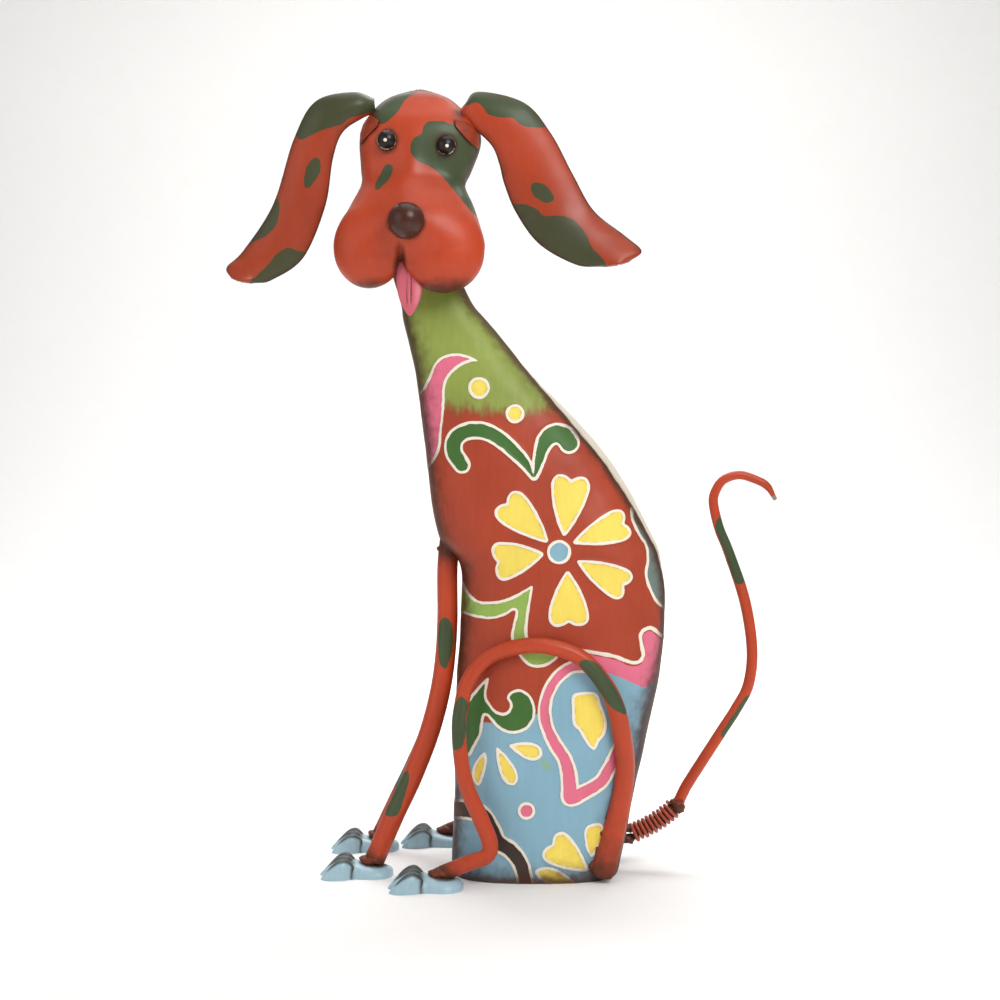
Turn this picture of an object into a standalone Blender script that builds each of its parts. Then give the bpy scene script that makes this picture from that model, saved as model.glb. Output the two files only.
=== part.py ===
"""A dog of welded sheet metal: a painted hollow torso with a sheet head and ears,
bent tube legs on stamped feet, and a rod tail on a coil spring.

Metres, +Z up. The origin is on the floor under the middle of the torso's base. The dog
looks towards -X with its head turned to -Y, so its left side is the -Y side."""

import math

import bmesh
import bpy
from mathutils import Matrix, Vector

# Driving sizes, in metres
FIGURE_HEIGHT = 0.430
TORSO_DEPTH = 0.080
FRONT_LEG_DIAMETER = 0.0112
HIND_LEG_DIAMETER = 0.0088
THIGH_END_WIDTH = 0.0145
THIGH_END_THICKNESS = 0.0085
FOOT_LENGTH = 0.040
FOOT_WIDTH = 0.028
FOOT_HEIGHT = 0.0105
NOSE_DIAMETER = 0.0193
EYE_DIAMETER = 0.0107
TONGUE_WIDTH = 0.0145
TONGUE_THICKNESS = 0.0018
EAR_THICKNESS = 0.0018
TAIL_ROD_DIAMETER = 0.0062
TAIL_TIP_DIAMETER = 0.0044
WELD_LUMP_DIAMETER = 0.0100
WELD_LUMP_LENGTH = 0.0040
SPRING_WIRE = 0.0020
SPRING_TURN_GAP = 0.0006
SPRING_TURNS = 10
SPRING_STEPS = 10
SPRING_WIRE_SIDES = 5
SPRING_ROD_CLEARANCE = 0.0005
SPRING_ROD_REACH = 0.006
WELD_GAP = 0.0003
# How far a cutting guide passes through the face that it opens
CUT_THROUGH = 0.005

# The free form is drawn in millimetres on a figure this tall, and scaled to FIGURE_HEIGHT
DRAWN_HEIGHT = 430.0
DRAWN = FIGURE_HEIGHT / DRAWN_HEIGHT

# Height of the joint between the neck and the head
NECK_TOP = 333.4

# Torso: height, front edge, back edge, and half depth as a share of the greatest half depth
TORSO_STATIONS = (
    (0.0, -46.0, 46.0, 0.93),
    (36.0, -44.5, 53.0, 0.97),
    (76.0, -44.5, 61.6, 1.00),
    (116.0, -42.6, 69.8, 1.00),
    (150.0, -40.4, 71.9, 0.98),
    (170.0, -41.5, 70.0, 0.96),
    (186.0, -53.5, 64.8, 0.93),
    (223.0, -59.3, 44.6, 0.82),
    (249.5, -62.6, 22.6, 0.70),
    (276.0, -66.0, -3.0, 0.58),
    (303.0, -72.6, -25.3, 0.48),
    (313.5, -74.4, -34.4, 0.45),
    (NECK_TOP, -80.0, -44.5, 0.40),
)
TORSO_SQUARENESS = 2.8
TORSO_SIDES = 40
TORSO_STEPS = 2

# Head: height, left edge, right edge, front and back, seen from the front
HEAD_STATIONS = (
    (NECK_TOP, -100.0, -37.0, 38.0, -12.0),
    (339.5, -107.0, -28.5, 44.0, -16.0),
    (347.0, -107.6, -28.0, 47.0, -18.5),
    (356.0, -105.4, -30.4, 47.0, -20.0),
    (366.0, -100.4, -33.8, 43.0, -20.5),
    (377.0, -95.0, -38.2, 36.0, -21.0),
    (386.0, -95.2, -34.6, 34.5, -21.0),
    (400.0, -96.0, -29.6, 35.5, -20.0),
    (409.0, -94.2, -31.4, 34.0, -18.0),
    (417.5, -88.5, -39.0, 29.0, -14.0),
    (424.0, -81.0, -46.5, 22.0, -8.0),
    (430.0, -69.0, -57.0, 13.0, 3.0),
)
HEAD_WIDEST = 15.0
HEAD_SQUARENESS = 2.4
HEAD_SIDES = 40
JOWL_SIDES = (20, 12)
NOSE_SIDES = (18, 10)
EYE_SIDES = (14, 8)
# Jowls: centre and half sizes
JOWLS = (
    ((-89.5, -32.0, 340.0), (19.0, 13.5, 21.4)),
    ((-49.5, -32.0, 338.5), (22.0, 13.5, 22.4)),
)
# Relief of the face: centre across and up, spread across and up, and how far it stands out
FACE_RELIEF = (
    ((-69.0, 352.0), (13.0, 11.0), 4.5),
    ((-67.5, 378.0), (6.5, 20.0), 3.5),
    ((-79.8, 386.0), (7.0, 6.0), -2.5),
    ((-49.0, 384.0), (7.0, 6.0), -2.5),
    ((-80.5, 407.0), (9.0, 4.0), 2.0),
    ((-47.5, 405.0), (9.0, 4.0), 2.0),
)
NOSE_CENTRE = (-68.3, -53.5, 351.3)
EYE_CENTRES = (("right_eye", (-79.8, -34.0, 397.6)), ("left_eye", (-48.2, -33.0, 395.1)))
TONGUE_SIDES = 10
# The tongue narrows to its tip from this share of its length
TONGUE_NARROWS = 0.45
TONGUE_ROUTE = ((-67.6, -33.0, 332.5), (-67.6, -34.0, 322.0), (-67.4, -36.5, 303.2))

# Ears: pairs of points on the outer and the inner edge, across and up
RIGHT_EAR = (
    ((-87.6, 423.8), (-86.8, 416.0)),
    ((-99.0, 426.0), (-94.0, 411.6)),
    ((-119.1, 420.6), (-104.5, 403.7)),
    ((-131.1, 400.5), (-109.9, 389.6)),
    ((-142.5, 365.7), (-114.2, 364.6)),
    ((-158.8, 340.8), (-126.2, 336.9)),
    ((-168.0, 332.1), (-143.0, 324.5)),
    ((-165.8, 326.6), (-151.7, 322.3)),
)
LEFT_EAR = (
    ((-38.5, 420.5), (-43.6, 411.0)),
    ((-31.0, 426.2), (-35.5, 407.4)),
    ((-6.2, 420.0), (-24.1, 397.2)),
    ((8.5, 403.7), (-19.7, 387.4)),
    ((20.4, 382.0), (-17.0, 377.1)),
    ((31.8, 362.5), (-10.5, 361.4)),
    ((48.1, 348.9), (2.0, 344.0)),
    ((57.4, 340.2), (21.5, 332.6)),
    ((52.5, 334.8), (35.1, 331.0)),
)
EAR_DEPTHS = (19.0, 24.0, 25.0, 23.0, 21.0, 20.0, 22.0, 24.0, 25.0)
EAR_CUP = 4.0
EAR_ACROSS = 6

# A leg ends inside its foot at this share of the foot's height, whatever its last point says
LEG_END_RISE = 0.75

# Front legs: across, towards the left side, and up
LEFT_FRONT_LEG = (
    (-46.0, 8.0, 190.0), (-48.2, 8.0, 168.0), (-48.3, 8.5, 135.0), (-51.0, 10.0, 106.0),
    (-57.5, 12.0, 79.0), (-67.5, 14.0, 53.0), (-77.0, 15.5, 33.0), (-88.0, 16.0, 0.0),
)
RIGHT_FRONT_LEG = (
    (-46.0, -7.0, 190.0), (-48.6, -8.0, 168.0), (-49.2, -14.0, 135.0), (-52.0, -25.0, 103.0),
    (-59.5, -36.0, 73.0), (-68.7, -42.0, 50.6), (-77.6, -47.0, 32.0), (-89.0, -50.0, 0.0),
)
# Hind legs: across, out from the torso's side, up, and the tube's width there as a share of
# its diameter; they start at the thigh's flattened end
HIND_LEG = (
    (35.0, 0.0, 4.0, 1.0), (38.6, 0.0, 15.0, 1.0), (43.2, 0.0, 33.0, 1.20),
    (47.2, 0.0, 54.0, 1.20), (47.2, 0.0, 70.0, 1.16), (42.6, 0.0, 94.0, 1.10),
    (34.4, 0.0, 110.0, 1.04), (21.6, 0.0, 122.6, 1.0), (2.4, 0.0, 128.0, 0.98),
    (-16.0, 0.2, 125.6, 0.96), (-27.6, 1.0, 119.6, 0.94), (-36.0, 1.8, 109.0, 0.92),
    (-39.6, 2.4, 96.6, 0.90), (-41.0, 3.2, 80.4, 0.88), (-37.6, 4.4, 56.0, 0.94),
    (-29.4, 5.6, 36.4, 1.0), (-24.6, 6.4, 24.0, 1.0), (-26.4, 7.0, 17.0, 0.96),
    (-36.4, 7.6, 13.4, 0.96), (-50.0, 8.0, 0.0, 0.96),
)
# The first points of the hind leg's route that are pressed flat
THIGH_FLAT_POINTS = 3
# In front of this place the hind leg leaves the torso's curve and goes on straight
THIGH_FRONT = -24.0
LEG_SIDES = 10

# Feet: how far the middle of the sole lies ahead of the leg's end
FRONT_FOOT_AHEAD = 9.5
HIND_FOOT_AHEAD = 8.5
# Height and width shares of the rings from the sole to the top of a foot
FOOT_LEVELS = ((0.0, 1.0), (0.5, 1.0), (0.85, 0.95), (1.0, 0.84))
# The toes slope down from this share of the length ahead of the middle, by this share of the
# height at their tips
TOE_START = 0.22
TOE_DROP = 0.62
# The right hind foot stands this much further out than the left one
RIGHT_HIND_SPREAD = 17.0

# Tail: the height where the spring leaves the torso, its rise, and the rod's route from the
# spring's end, across and up
SPRING_BASE_HEIGHT = 20.0
SPRING_RISE_DEGREES = 31.0
TAIL_ROUTE = (
    (5.4, 8.8), (9.3, 15.7), (26.6, 42.5), (35.2, 55.8), (41.9, 69.2), (43.8, 89.2),
    (39.7, 115.9), (30.8, 142.7), (25.5, 156.0), (22.4, 169.4), (23.4, 176.2),
    (28.0, 182.8), (36.6, 185.5), (45.0, 183.3), (52.2, 179.4), (56.7, 172.2),
)
# The rod tapers towards its tip after this share of its length
TAIL_TAPER_START = 0.6

# Colours: red, green, blue, roughness, metallic
FINISHES = {
    "torso": (0.42, 0.09, 0.05, 0.40, 0.1),
    "head": (0.40, 0.07, 0.03, 0.40, 0.1),
    "nose": (0.08, 0.03, 0.02, 0.35, 0.1),
    "eye": (0.02, 0.015, 0.01, 0.25, 0.1),
    "tongue": (0.52, 0.12, 0.13, 0.45, 0.1),
    "ear": (0.40, 0.07, 0.03, 0.40, 0.1),
    "leg": (0.42, 0.08, 0.03, 0.40, 0.1),
    "foot": (0.30, 0.42, 0.48, 0.45, 0.1),
    "tail_spring": (0.25, 0.06, 0.04, 0.45, 0.3),
    "tail_rod": (0.38, 0.08, 0.05, 0.40, 0.2),
}


def finish(name):
    """The plain material of a kind of piece."""
    material = bpy.data.materials.get(name)
    if material:
        return material
    red, green, blue, roughness, metallic = FINISHES[name]
    material = bpy.data.materials.new(name)
    material.use_nodes = True
    shader = material.node_tree.nodes["Principled BSDF"]
    shader.inputs["Base Color"].default_value = (red, green, blue, 1.0)
    shader.inputs["Roughness"].default_value = roughness
    shader.inputs["Metallic"].default_value = metallic
    return material


def curve_through(points, steps):
    """A smooth curve through the points, with this many steps from each to the next."""
    first = [2 * a - b for a, b in zip(points[0], points[1])]
    last = [2 * a - b for a, b in zip(points[-1], points[-2])]
    held = [first, *points, last]
    curve = []
    for before, start, end, after in zip(held, held[1:], held[2:], held[3:]):
        for step in range(steps):
            t = step / steps
            curve.append([
                0.5 * (2 * b + (c - a) * t + (2 * a - 5 * b + 4 * c - d) * t * t
                       + (3 * b - a - 3 * c + d) * t ** 3)
                for a, b, c, d in zip(before, start, end, after)
            ])
    curve.append(list(points[-1]))
    return curve


def squarish(angle, squareness):
    """A point of a unit circle pressed towards a square."""
    c, s = math.cos(angle), math.sin(angle)
    return (
        math.copysign(abs(c) ** (2 / squareness), c),
        math.copysign(abs(s) ** (2 / squareness), s),
    )


def loft(rings):
    """A closed skin over rings of points, each loop extruded from the one before."""
    bm = bmesh.new()
    loop = bmesh.ops.create_circle(bm, cap_ends=True, segments=len(rings[0]), radius=1)["verts"]
    for vert, point in zip(loop, rings[0]):
        vert.co = point
    for ring in rings[1:]:
        edges = [bm.edges.get((a, b)) for a, b in zip(loop, loop[1:] + loop[:1])]
        made = bmesh.ops.extrude_edge_only(bm, edges=edges)["geom"]
        new = {item for item in made if isinstance(item, bmesh.types.BMVert)}
        loop = [
            next(e.other_vert(v) for e in v.link_edges if e.other_vert(v) in new)
            for v in loop
        ]
        for vert, point in zip(loop, ring):
            vert.co = point
    edges = [bm.edges.get((a, b)) for a, b in zip(loop, loop[1:] + loop[:1])]
    bmesh.ops.contextual_create(bm, geom=edges)
    bmesh.ops.recalc_face_normals(bm, faces=bm.faces)
    return bm


def add_object(name, bm, kind=None, sharp_degrees=40):
    """An object holding the bmesh, shaded smooth, with its material."""
    mesh = bpy.data.meshes.new(name)
    bm.to_mesh(mesh)
    bm.free()
    mesh.shade_smooth()
    mesh.set_sharp_from_angle(angle=math.radians(sharp_degrees))
    if kind:
        mesh.materials.append(finish(kind))
    thing = bpy.data.objects.new(name, mesh)
    bpy.context.scene.collection.objects.link(thing)
    return thing


def add_cutter(name, bm):
    """A guide that only cuts other pieces."""
    cutter = add_object(name, bm)
    cutter.hide_render = True
    cutter.display_type = "WIRE"
    return cutter


def combine(thing, other, operation):
    """A Boolean of one object with another."""
    modifier = thing.modifiers.new(other.name, "BOOLEAN")
    modifier.operation = operation
    modifier.object = other
    modifier.solver = "EXACT"


def torso_section(height):
    """Front edge, back edge and half depth of the torso at a height, in metres."""
    levels = torso_levels()
    for low, high in zip(levels, levels[1:]):
        if height <= high[0]:
            break
    share = (height - low[0]) / (high[0] - low[0])
    return [a + (b - a) * share for a, b in zip(low[1:], high[1:])]


def torso_levels():
    """Height, front edge, back edge and half depth at every ring of the torso."""
    return [
        (z * DRAWN, front * DRAWN, back * DRAWN, depth * TORSO_DEPTH / 2)
        for z, front, back, depth in curve_through(TORSO_STATIONS, TORSO_STEPS)
    ]


def torso_side(x, height):
    """How far the torso's side stands from its middle plane at a place."""
    front, back, depth = torso_section(height)
    off = abs(x - (front + back) / 2) / ((back - front) / 2)
    return depth * max(0.0, 1 - off ** TORSO_SQUARENESS) ** (1 / TORSO_SQUARENESS)


def torso_rings(grow=0.0):
    """The torso's rings, or those of a guide that stands off it by a gap."""
    rings = []
    for z, front, back, depth in torso_levels():
        middle, half = (front + back) / 2, (back - front) / 2
        ring = []
        for i in range(TORSO_SIDES):
            across, deep = squarish(2 * math.pi * i / TORSO_SIDES, TORSO_SQUARENESS)
            ring.append((middle + (half + grow) * across, (depth + grow) * deep, z))
        rings.append(ring)
    return rings


def make_torso():
    add_object("torso", loft(torso_rings()), "torso")
    rings = torso_rings(WELD_GAP)
    rings[0] = [(x, y, z - CUT_THROUGH) for x, y, z in rings[0]]
    return add_cutter("torso_clearance", loft(rings))


def face_relief(x, z):
    """How far the face stands out at a place, in drawn millimetres."""
    return sum(
        out * math.exp(-((x - cx) / wide) ** 2 - ((z - cz) / tall) ** 2)
        for (cx, cz), (wide, tall), out in FACE_RELIEF
    )


def head_rings(grow=0.0):
    """The head's rings from the jaw to the crown."""
    rings = []
    for z, left, right, front, back in HEAD_STATIONS:
        lift = WELD_GAP if z == NECK_TOP else 0.0
        middle, half = (left + right) / 2, (right - left) / 2 + grow
        ring = []
        for i in range(HEAD_SIDES):
            across, deep = squarish(2 * math.pi * i / HEAD_SIDES, HEAD_SQUARENESS)
            x = middle + half * across
            if deep > 0:
                y = -HEAD_WIDEST + (HEAD_WIDEST - back + grow) * deep
            else:
                y = -HEAD_WIDEST + (front - HEAD_WIDEST + grow) * deep
                y += face_relief(x, z) * deep
            ring.append((x * DRAWN, y * DRAWN, z * DRAWN + lift))
        rings.append(ring)
    return rings


def ball(centre, diameter, across, up, extra=0.0):
    """A ball, its centre in drawn millimetres."""
    bm = bmesh.new()
    bmesh.ops.create_uvsphere(bm, u_segments=across, v_segments=up, radius=diameter / 2 + extra)
    bmesh.ops.rotate(bm, verts=bm.verts, matrix=Matrix.Rotation(math.pi / 2, 3, "X"))
    bmesh.ops.translate(bm, verts=bm.verts, vec=Vector(centre) * DRAWN)
    return bm


def make_head():
    head = add_object("head", loft(head_rings()), "head")
    for i, (centre, sizes) in enumerate(JOWLS):
        bm = bmesh.new()
        across, up = JOWL_SIDES
        bmesh.ops.create_uvsphere(bm, u_segments=across, v_segments=up, radius=DRAWN)
        bmesh.ops.scale(bm, verts=bm.verts, vec=sizes)
        bmesh.ops.translate(bm, verts=bm.verts, vec=Vector(centre) * DRAWN)
        combine(head, add_cutter(f"jowl_{i}", bm), "UNION")
    balls = [("nose", "nose", NOSE_CENTRE, NOSE_DIAMETER, NOSE_SIDES)]
    balls += [(name, "eye", centre, EYE_DIAMETER, EYE_SIDES) for name, centre in EYE_CENTRES]
    for name, kind, centre, diameter, sides in balls:
        add_object(name, ball(centre, diameter, *sides), kind)
        socket = ball(centre, diameter, *sides, extra=WELD_GAP)
        combine(head, add_cutter(name + "_socket", socket), "DIFFERENCE")
    add_object("tongue", loft(tongue_rings(0.0)), "tongue")
    combine(head, add_cutter("mouth_slot", loft(tongue_rings(WELD_GAP))), "DIFFERENCE")
    return add_cutter("head_clearance", loft(head_rings(WELD_GAP / DRAWN)))


def tongue_rings(grow):
    """The tongue's rings from its root in the mouth to its round tip."""
    route = curve_through(TONGUE_ROUTE, 4)
    rings = []
    length = len(route) - 1
    for i, (x, y, z) in enumerate(route):
        share = i / length
        past = max(0.0, share - TONGUE_NARROWS) / (1.02 - TONGUE_NARROWS)
        narrow = math.sqrt(1 - past ** 2)
        half = TONGUE_WIDTH / 2 * narrow + grow
        thick = TONGUE_THICKNESS / 2 + grow
        end = grow * ((i == length) - (i == 0))
        rings.append([
            (x * DRAWN + half * math.cos(a), y * DRAWN + thick * math.sin(a), z * DRAWN - end)
            for a in (2 * math.pi * k / TONGUE_SIDES for k in range(TONGUE_SIDES))
        ])
    return rings


def ear_rings(pairs):
    """A cupped strip of sheet between the two edges of an ear."""
    stations = [(*outer, *inner, deep) for (outer, inner), deep in zip(pairs, EAR_DEPTHS)]
    rings = []
    for ax, az, bx, bz, depth in curve_through(stations, 2):
        front, rear = [], []
        for k in range(EAR_ACROSS):
            u = k / (EAR_ACROSS - 1)
            x, z = ax + (bx - ax) * u, az + (bz - az) * u
            y = -(depth + EAR_CUP * (1 - (2 * u - 1) ** 2))
            front.append((x * DRAWN, y * DRAWN - EAR_THICKNESS / 2, z * DRAWN))
            rear.append((x * DRAWN, y * DRAWN + EAR_THICKNESS / 2, z * DRAWN))
        rings.append(front + rear[::-1])
    return rings


def make_ears(head_clearance):
    for name, pairs in (("right_ear", RIGHT_EAR), ("left_ear", LEFT_EAR)):
        ear = add_object(name, loft(ear_rings(pairs)), "ear")
        combine(ear, head_clearance, "DIFFERENCE")


def swept_rings(route, sizes, sides):
    """Oval rings along a route: sizes gives the half width, then the half thickness to -Y."""
    rings = []
    route = [Vector(p) for p in route]
    side = None
    for i, point in enumerate(route):
        along = (route[min(i + 1, len(route) - 1)] - route[max(i - 1, 0)]).normalized()
        out = side or Vector((0, -1, 0))
        out = (out - along * out.dot(along)).normalized()
        side = out
        wide = along.cross(out)
        half, thick = sizes[i]
        rings.append([
            point + wide * half * math.cos(a) + out * thick * math.sin(a)
            for a in (2 * math.pi * k / sides for k in range(sides))
        ])
    return rings


def front_leg(points):
    """Route and half sizes of a front leg."""
    held = [(x * DRAWN, -y * DRAWN, z * DRAWN) for x, y, z in points]
    held[-1] = (*held[-1][:2], FOOT_HEIGHT * LEG_END_RISE)
    route = curve_through(held, 2)
    return route, [(FRONT_LEG_DIAMETER / 2, FRONT_LEG_DIAMETER / 2)] * len(route)


def hind_leg(side):
    """Route and half sizes of a hind leg along the torso; side is -1 left and 1 right."""
    spread = RIGHT_HIND_SPREAD if side > 0 else 0.0
    furthest = HIND_LEG[-1][1]
    route, sizes = [], []
    for i, (x, out, z, width) in enumerate(HIND_LEG):
        press = max(0.0, 1 - i / THIGH_FLAT_POINTS)
        round_width = HIND_LEG_DIAMETER * width
        wide = round_width + (THIGH_END_WIDTH - round_width) * press
        thick = round_width + (THIGH_END_THICKNESS - round_width) * press
        touch = torso_side(max(x, THIGH_FRONT) * DRAWN, z * DRAWN) + thick / 2
        away = (out + spread * out / furthest) * DRAWN
        route.append((x * DRAWN, side * (touch + away), z * DRAWN))
        sizes.append((wide / 2, thick / 2))
    route[-1] = (*route[-1][:2], FOOT_HEIGHT * LEG_END_RISE)
    return route, sizes


def make_legs(torso_clearance):
    """Legs cut to the torso; returns each foot's leg end and the guide that cuts the foot."""
    feet = {}
    for name, (route, sizes) in (
        ("left_front_leg", front_leg(LEFT_FRONT_LEG)),
        ("right_front_leg", front_leg(RIGHT_FRONT_LEG)),
        ("left_hind_leg", hind_leg(-1)),
        ("right_hind_leg", hind_leg(1)),
    ):
        leg = add_object(name, loft(swept_rings(route, sizes, LEG_SIDES)), "leg")
        combine(leg, torso_clearance, "DIFFERENCE")
        wider = [(half + WELD_GAP, thick + WELD_GAP) for half, thick in sizes]
        end, before = Vector(route[-1]), Vector(route[-2])
        longer = [*route[:-1], end + (end - before).normalized() * WELD_GAP]
        guide = loft(swept_rings(longer, wider, LEG_SIDES))
        feet[name.replace("leg", "foot")] = (end, add_cutter(name + "_clearance", guide))
    return feet


def foot_outline():
    """The sole from above, in shares: a round heel, a waist and three pointed toes to -X."""
    heel_depth, heel_half_width, heel_steps = 0.24, 0.43, 3
    half = []
    for i in range(heel_steps + 1):
        turn = i * math.pi / 2 / heel_steps
        across = heel_half_width * math.sin(turn)
        half.append((0.5 - heel_depth * (1 - math.cos(turn)), across))
    half += [
        (0.02, 0.40), (-0.18, 0.47), (-0.33, 0.48), (-0.45, 0.40), (-0.34, 0.25),
        (-0.20, 0.18), (-0.20, 0.155), (-0.36, 0.14), (-0.50, 0.0),
    ]
    mirrored = [(x, -y) for x, y in reversed(half[1:-1])]
    return [(x * FOOT_LENGTH, y * FOOT_WIDTH) for x, y in half + mirrored]


def make_feet(feet):
    """A foot under each leg's end, cut by the guide that stands off the leg."""
    outline = foot_outline()
    for name, (end, guide) in feet.items():
        ahead = HIND_FOOT_AHEAD if "hind" in name else FRONT_FOOT_AHEAD
        rings = []
        for level, inset in FOOT_LEVELS:
            ring = []
            for px, py in outline:
                toe = max(0.0, -px / FOOT_LENGTH - TOE_START) / (0.5 - TOE_START)
                height = FOOT_HEIGHT * (1 - TOE_DROP * toe ** 2)
                x = end[0] - ahead * DRAWN + px * inset
                ring.append((x, end[1] + py * inset, height * level))
            rings.append(ring)
        combine(add_object(name, loft(rings), "foot"), guide, "DIFFERENCE")


def spring_direction():
    rise = math.radians(SPRING_RISE_DEGREES)
    return Vector((math.cos(rise), 0, math.sin(rise)))


def spring_base(along, outer_radius):
    """The middle of the spring's first turn, which just clears the torso's back edge."""
    height = SPRING_BASE_HEIGHT * DRAWN
    top_edge = height + outer_radius * along.x
    edge = torso_section(top_edge)[1] + outer_radius * along.z
    return Vector((edge + WELD_GAP + SPRING_WIRE / 2, 0, height))


def make_spring(base, along, radius):
    """The coil spring around a straight line from its base."""
    side = Vector((0, -1, 0))
    up = along.cross(side)
    pitch = SPRING_WIRE + SPRING_TURN_GAP
    rings = []
    for i in range(SPRING_TURNS * SPRING_STEPS + 1):
        turn = 2 * math.pi * i / SPRING_STEPS
        out = side * math.sin(turn) + up * math.cos(turn)
        middle = base + along * pitch * i / SPRING_STEPS + out * radius
        rings.append([
            middle + (out * math.cos(a) + along * math.sin(a)) * SPRING_WIRE / 2
            for a in (2 * math.pi * k / SPRING_WIRE_SIDES for k in range(SPRING_WIRE_SIDES))
        ])
    add_object("tail_spring", loft(rings), "tail_spring", 60)
    return base + along * pitch * SPRING_TURNS


def make_tail():
    """The spring, and the rod whose end is held in the spring's last turns by a weld lump."""
    radius = TAIL_ROD_DIAMETER / 2 + SPRING_ROD_CLEARANCE + SPRING_WIRE / 2
    along = spring_direction()
    base = spring_base(along, radius + SPRING_WIRE / 2)
    end = make_spring(base, along, radius)
    lump_start = end + along * (SPRING_WIRE / 2 + WELD_GAP)
    rod, lump, tip = TAIL_ROD_DIAMETER / 2, WELD_LUMP_DIAMETER / 2, TAIL_TIP_DIAMETER / 2
    held = [
        (end - along * SPRING_ROD_REACH, rod),
        (lump_start, rod),
        (lump_start + along * WELD_LUMP_LENGTH * 0.2, lump * 0.85),
        (lump_start + along * WELD_LUMP_LENGTH * 0.6, lump),
        (lump_start + along * WELD_LUMP_LENGTH, lump * 0.85),
    ]
    free = curve_through([(end.x + x * DRAWN, 0, end.z + z * DRAWN) for x, z in TAIL_ROUTE], 2)
    for i, point in enumerate(free):
        taper = max(0.0, i / (len(free) - 1) - TAIL_TAPER_START) / (1 - TAIL_TAPER_START)
        held.append((Vector(point), rod + (tip - rod) * taper))
    sizes = [(half, half) for _, half in held]
    add_object("tail_rod", loft(swept_rings([p for p, _ in held], sizes, 8)), "tail_rod")


def main():
    for thing in list(bpy.data.objects):
        bpy.data.objects.remove(thing)
    torso_clearance = make_torso()
    head_clearance = make_head()
    make_ears(head_clearance)
    make_feet(make_legs(torso_clearance))
    make_tail()


main()
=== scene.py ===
"""Looks of the painted metal dog: fine skins over its solids, the raised and painted
pattern, and a plain studio. Lengths of the free form are in drawn millimetres, with the
origin on the floor, +Z up and the dog's left side towards -Y."""

import math

import bmesh
import bpy
import numpy as np
from bpy.props import FloatProperty, FloatVectorProperty, IntProperty, PointerProperty
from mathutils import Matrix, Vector


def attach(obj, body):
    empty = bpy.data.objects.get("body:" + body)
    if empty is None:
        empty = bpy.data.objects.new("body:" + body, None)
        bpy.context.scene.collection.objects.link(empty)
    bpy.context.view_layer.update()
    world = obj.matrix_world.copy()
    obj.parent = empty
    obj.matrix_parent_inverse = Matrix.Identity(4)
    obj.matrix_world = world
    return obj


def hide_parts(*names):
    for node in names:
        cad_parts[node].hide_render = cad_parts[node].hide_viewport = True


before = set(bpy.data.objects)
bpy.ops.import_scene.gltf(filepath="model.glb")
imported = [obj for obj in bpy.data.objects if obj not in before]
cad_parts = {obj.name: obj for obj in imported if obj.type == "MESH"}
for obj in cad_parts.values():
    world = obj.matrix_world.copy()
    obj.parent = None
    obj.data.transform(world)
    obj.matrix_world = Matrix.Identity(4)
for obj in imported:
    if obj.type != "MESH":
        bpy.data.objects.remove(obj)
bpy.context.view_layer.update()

bl_info = {
    "name": "Painted Metal Dog",
    "version": (1, 0, 0),
    "blender": (4, 5, 0),
    "location": "3D View > Sidebar > Metal Dog",
    "description": "Builds the looks of a painted sheet-metal dog over its solids",
    "category": "Object",
}

MM = 0.001
NECK_TOP = 333.4

# Torso: height, front edge, back edge, and half depth as a share of the greatest
TORSO_STATIONS = (
    (0.0, -46.0, 46.0, 0.93), (36.0, -44.5, 53.0, 0.97), (76.0, -44.5, 61.6, 1.00),
    (116.0, -42.6, 69.8, 1.00), (150.0, -40.4, 71.9, 0.98), (170.0, -41.5, 70.0, 0.96),
    (186.0, -53.5, 64.8, 0.93), (223.0, -59.3, 44.6, 0.82), (249.5, -62.6, 22.6, 0.70),
    (276.0, -66.0, -3.0, 0.58), (303.0, -72.6, -25.3, 0.48), (313.5, -74.4, -34.4, 0.45),
    (NECK_TOP, -80.0, -44.5, 0.40),
)
TORSO_SQUARENESS = 2.8
TORSO_GRID = (346, 276)
# Height over which the sheet's dents fade out towards the base and the neck's top
TORSO_END = 12.0
# The rim turned in at the base: share of the half width, and height over which it fades
BASE_RIM = (0.014, 0.9)
# Height, and how far from the middle the seam of the back strip runs
BACK_SEAM = (
    (0.0, 9.0), (120.0, 10.0), (152.0, 15.0), (184.0, 19.5), (216.0, 21.5), (240.0, 21.0), (259.0, 17.0),
    (275.0, 11.5), (291.0, 8.0), (NECK_TOP, 6.0),
)
FRONT_GAP = 8.0

# Head: height, left edge, right edge, front and back, seen from the front
HEAD_STATIONS = (
    (NECK_TOP, -100.0, -37.0, 38.0, -12.0), (339.5, -107.0, -28.5, 44.0, -16.0),
    (347.0, -107.6, -28.0, 47.0, -18.5), (356.0, -105.4, -30.4, 47.0, -20.0),
    (366.0, -100.4, -33.8, 43.0, -20.5), (377.0, -95.0, -38.2, 36.0, -21.0),
    (386.0, -95.2, -34.6, 34.5, -21.0), (400.0, -96.0, -29.6, 35.5, -20.0),
    (409.0, -94.2, -31.4, 34.0, -18.0), (417.5, -88.5, -39.0, 29.0, -14.0),
    (424.0, -81.0, -46.5, 24.5, -8.0), (430.0, -69.0, -57.0, 18.5, 3.0),
)
HEAD_WIDEST = 15.0
HEAD_SQUARENESS = 2.4
HEAD_CENTRE = (-69.0, -20.0, 356.0)
JOWLS = (
    ((-89.5, -32.0, 340.0), (19.0, 13.5, 21.4)),
    ((-49.5, -32.0, 338.5), (22.0, 13.5, 22.4)),
)
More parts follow.
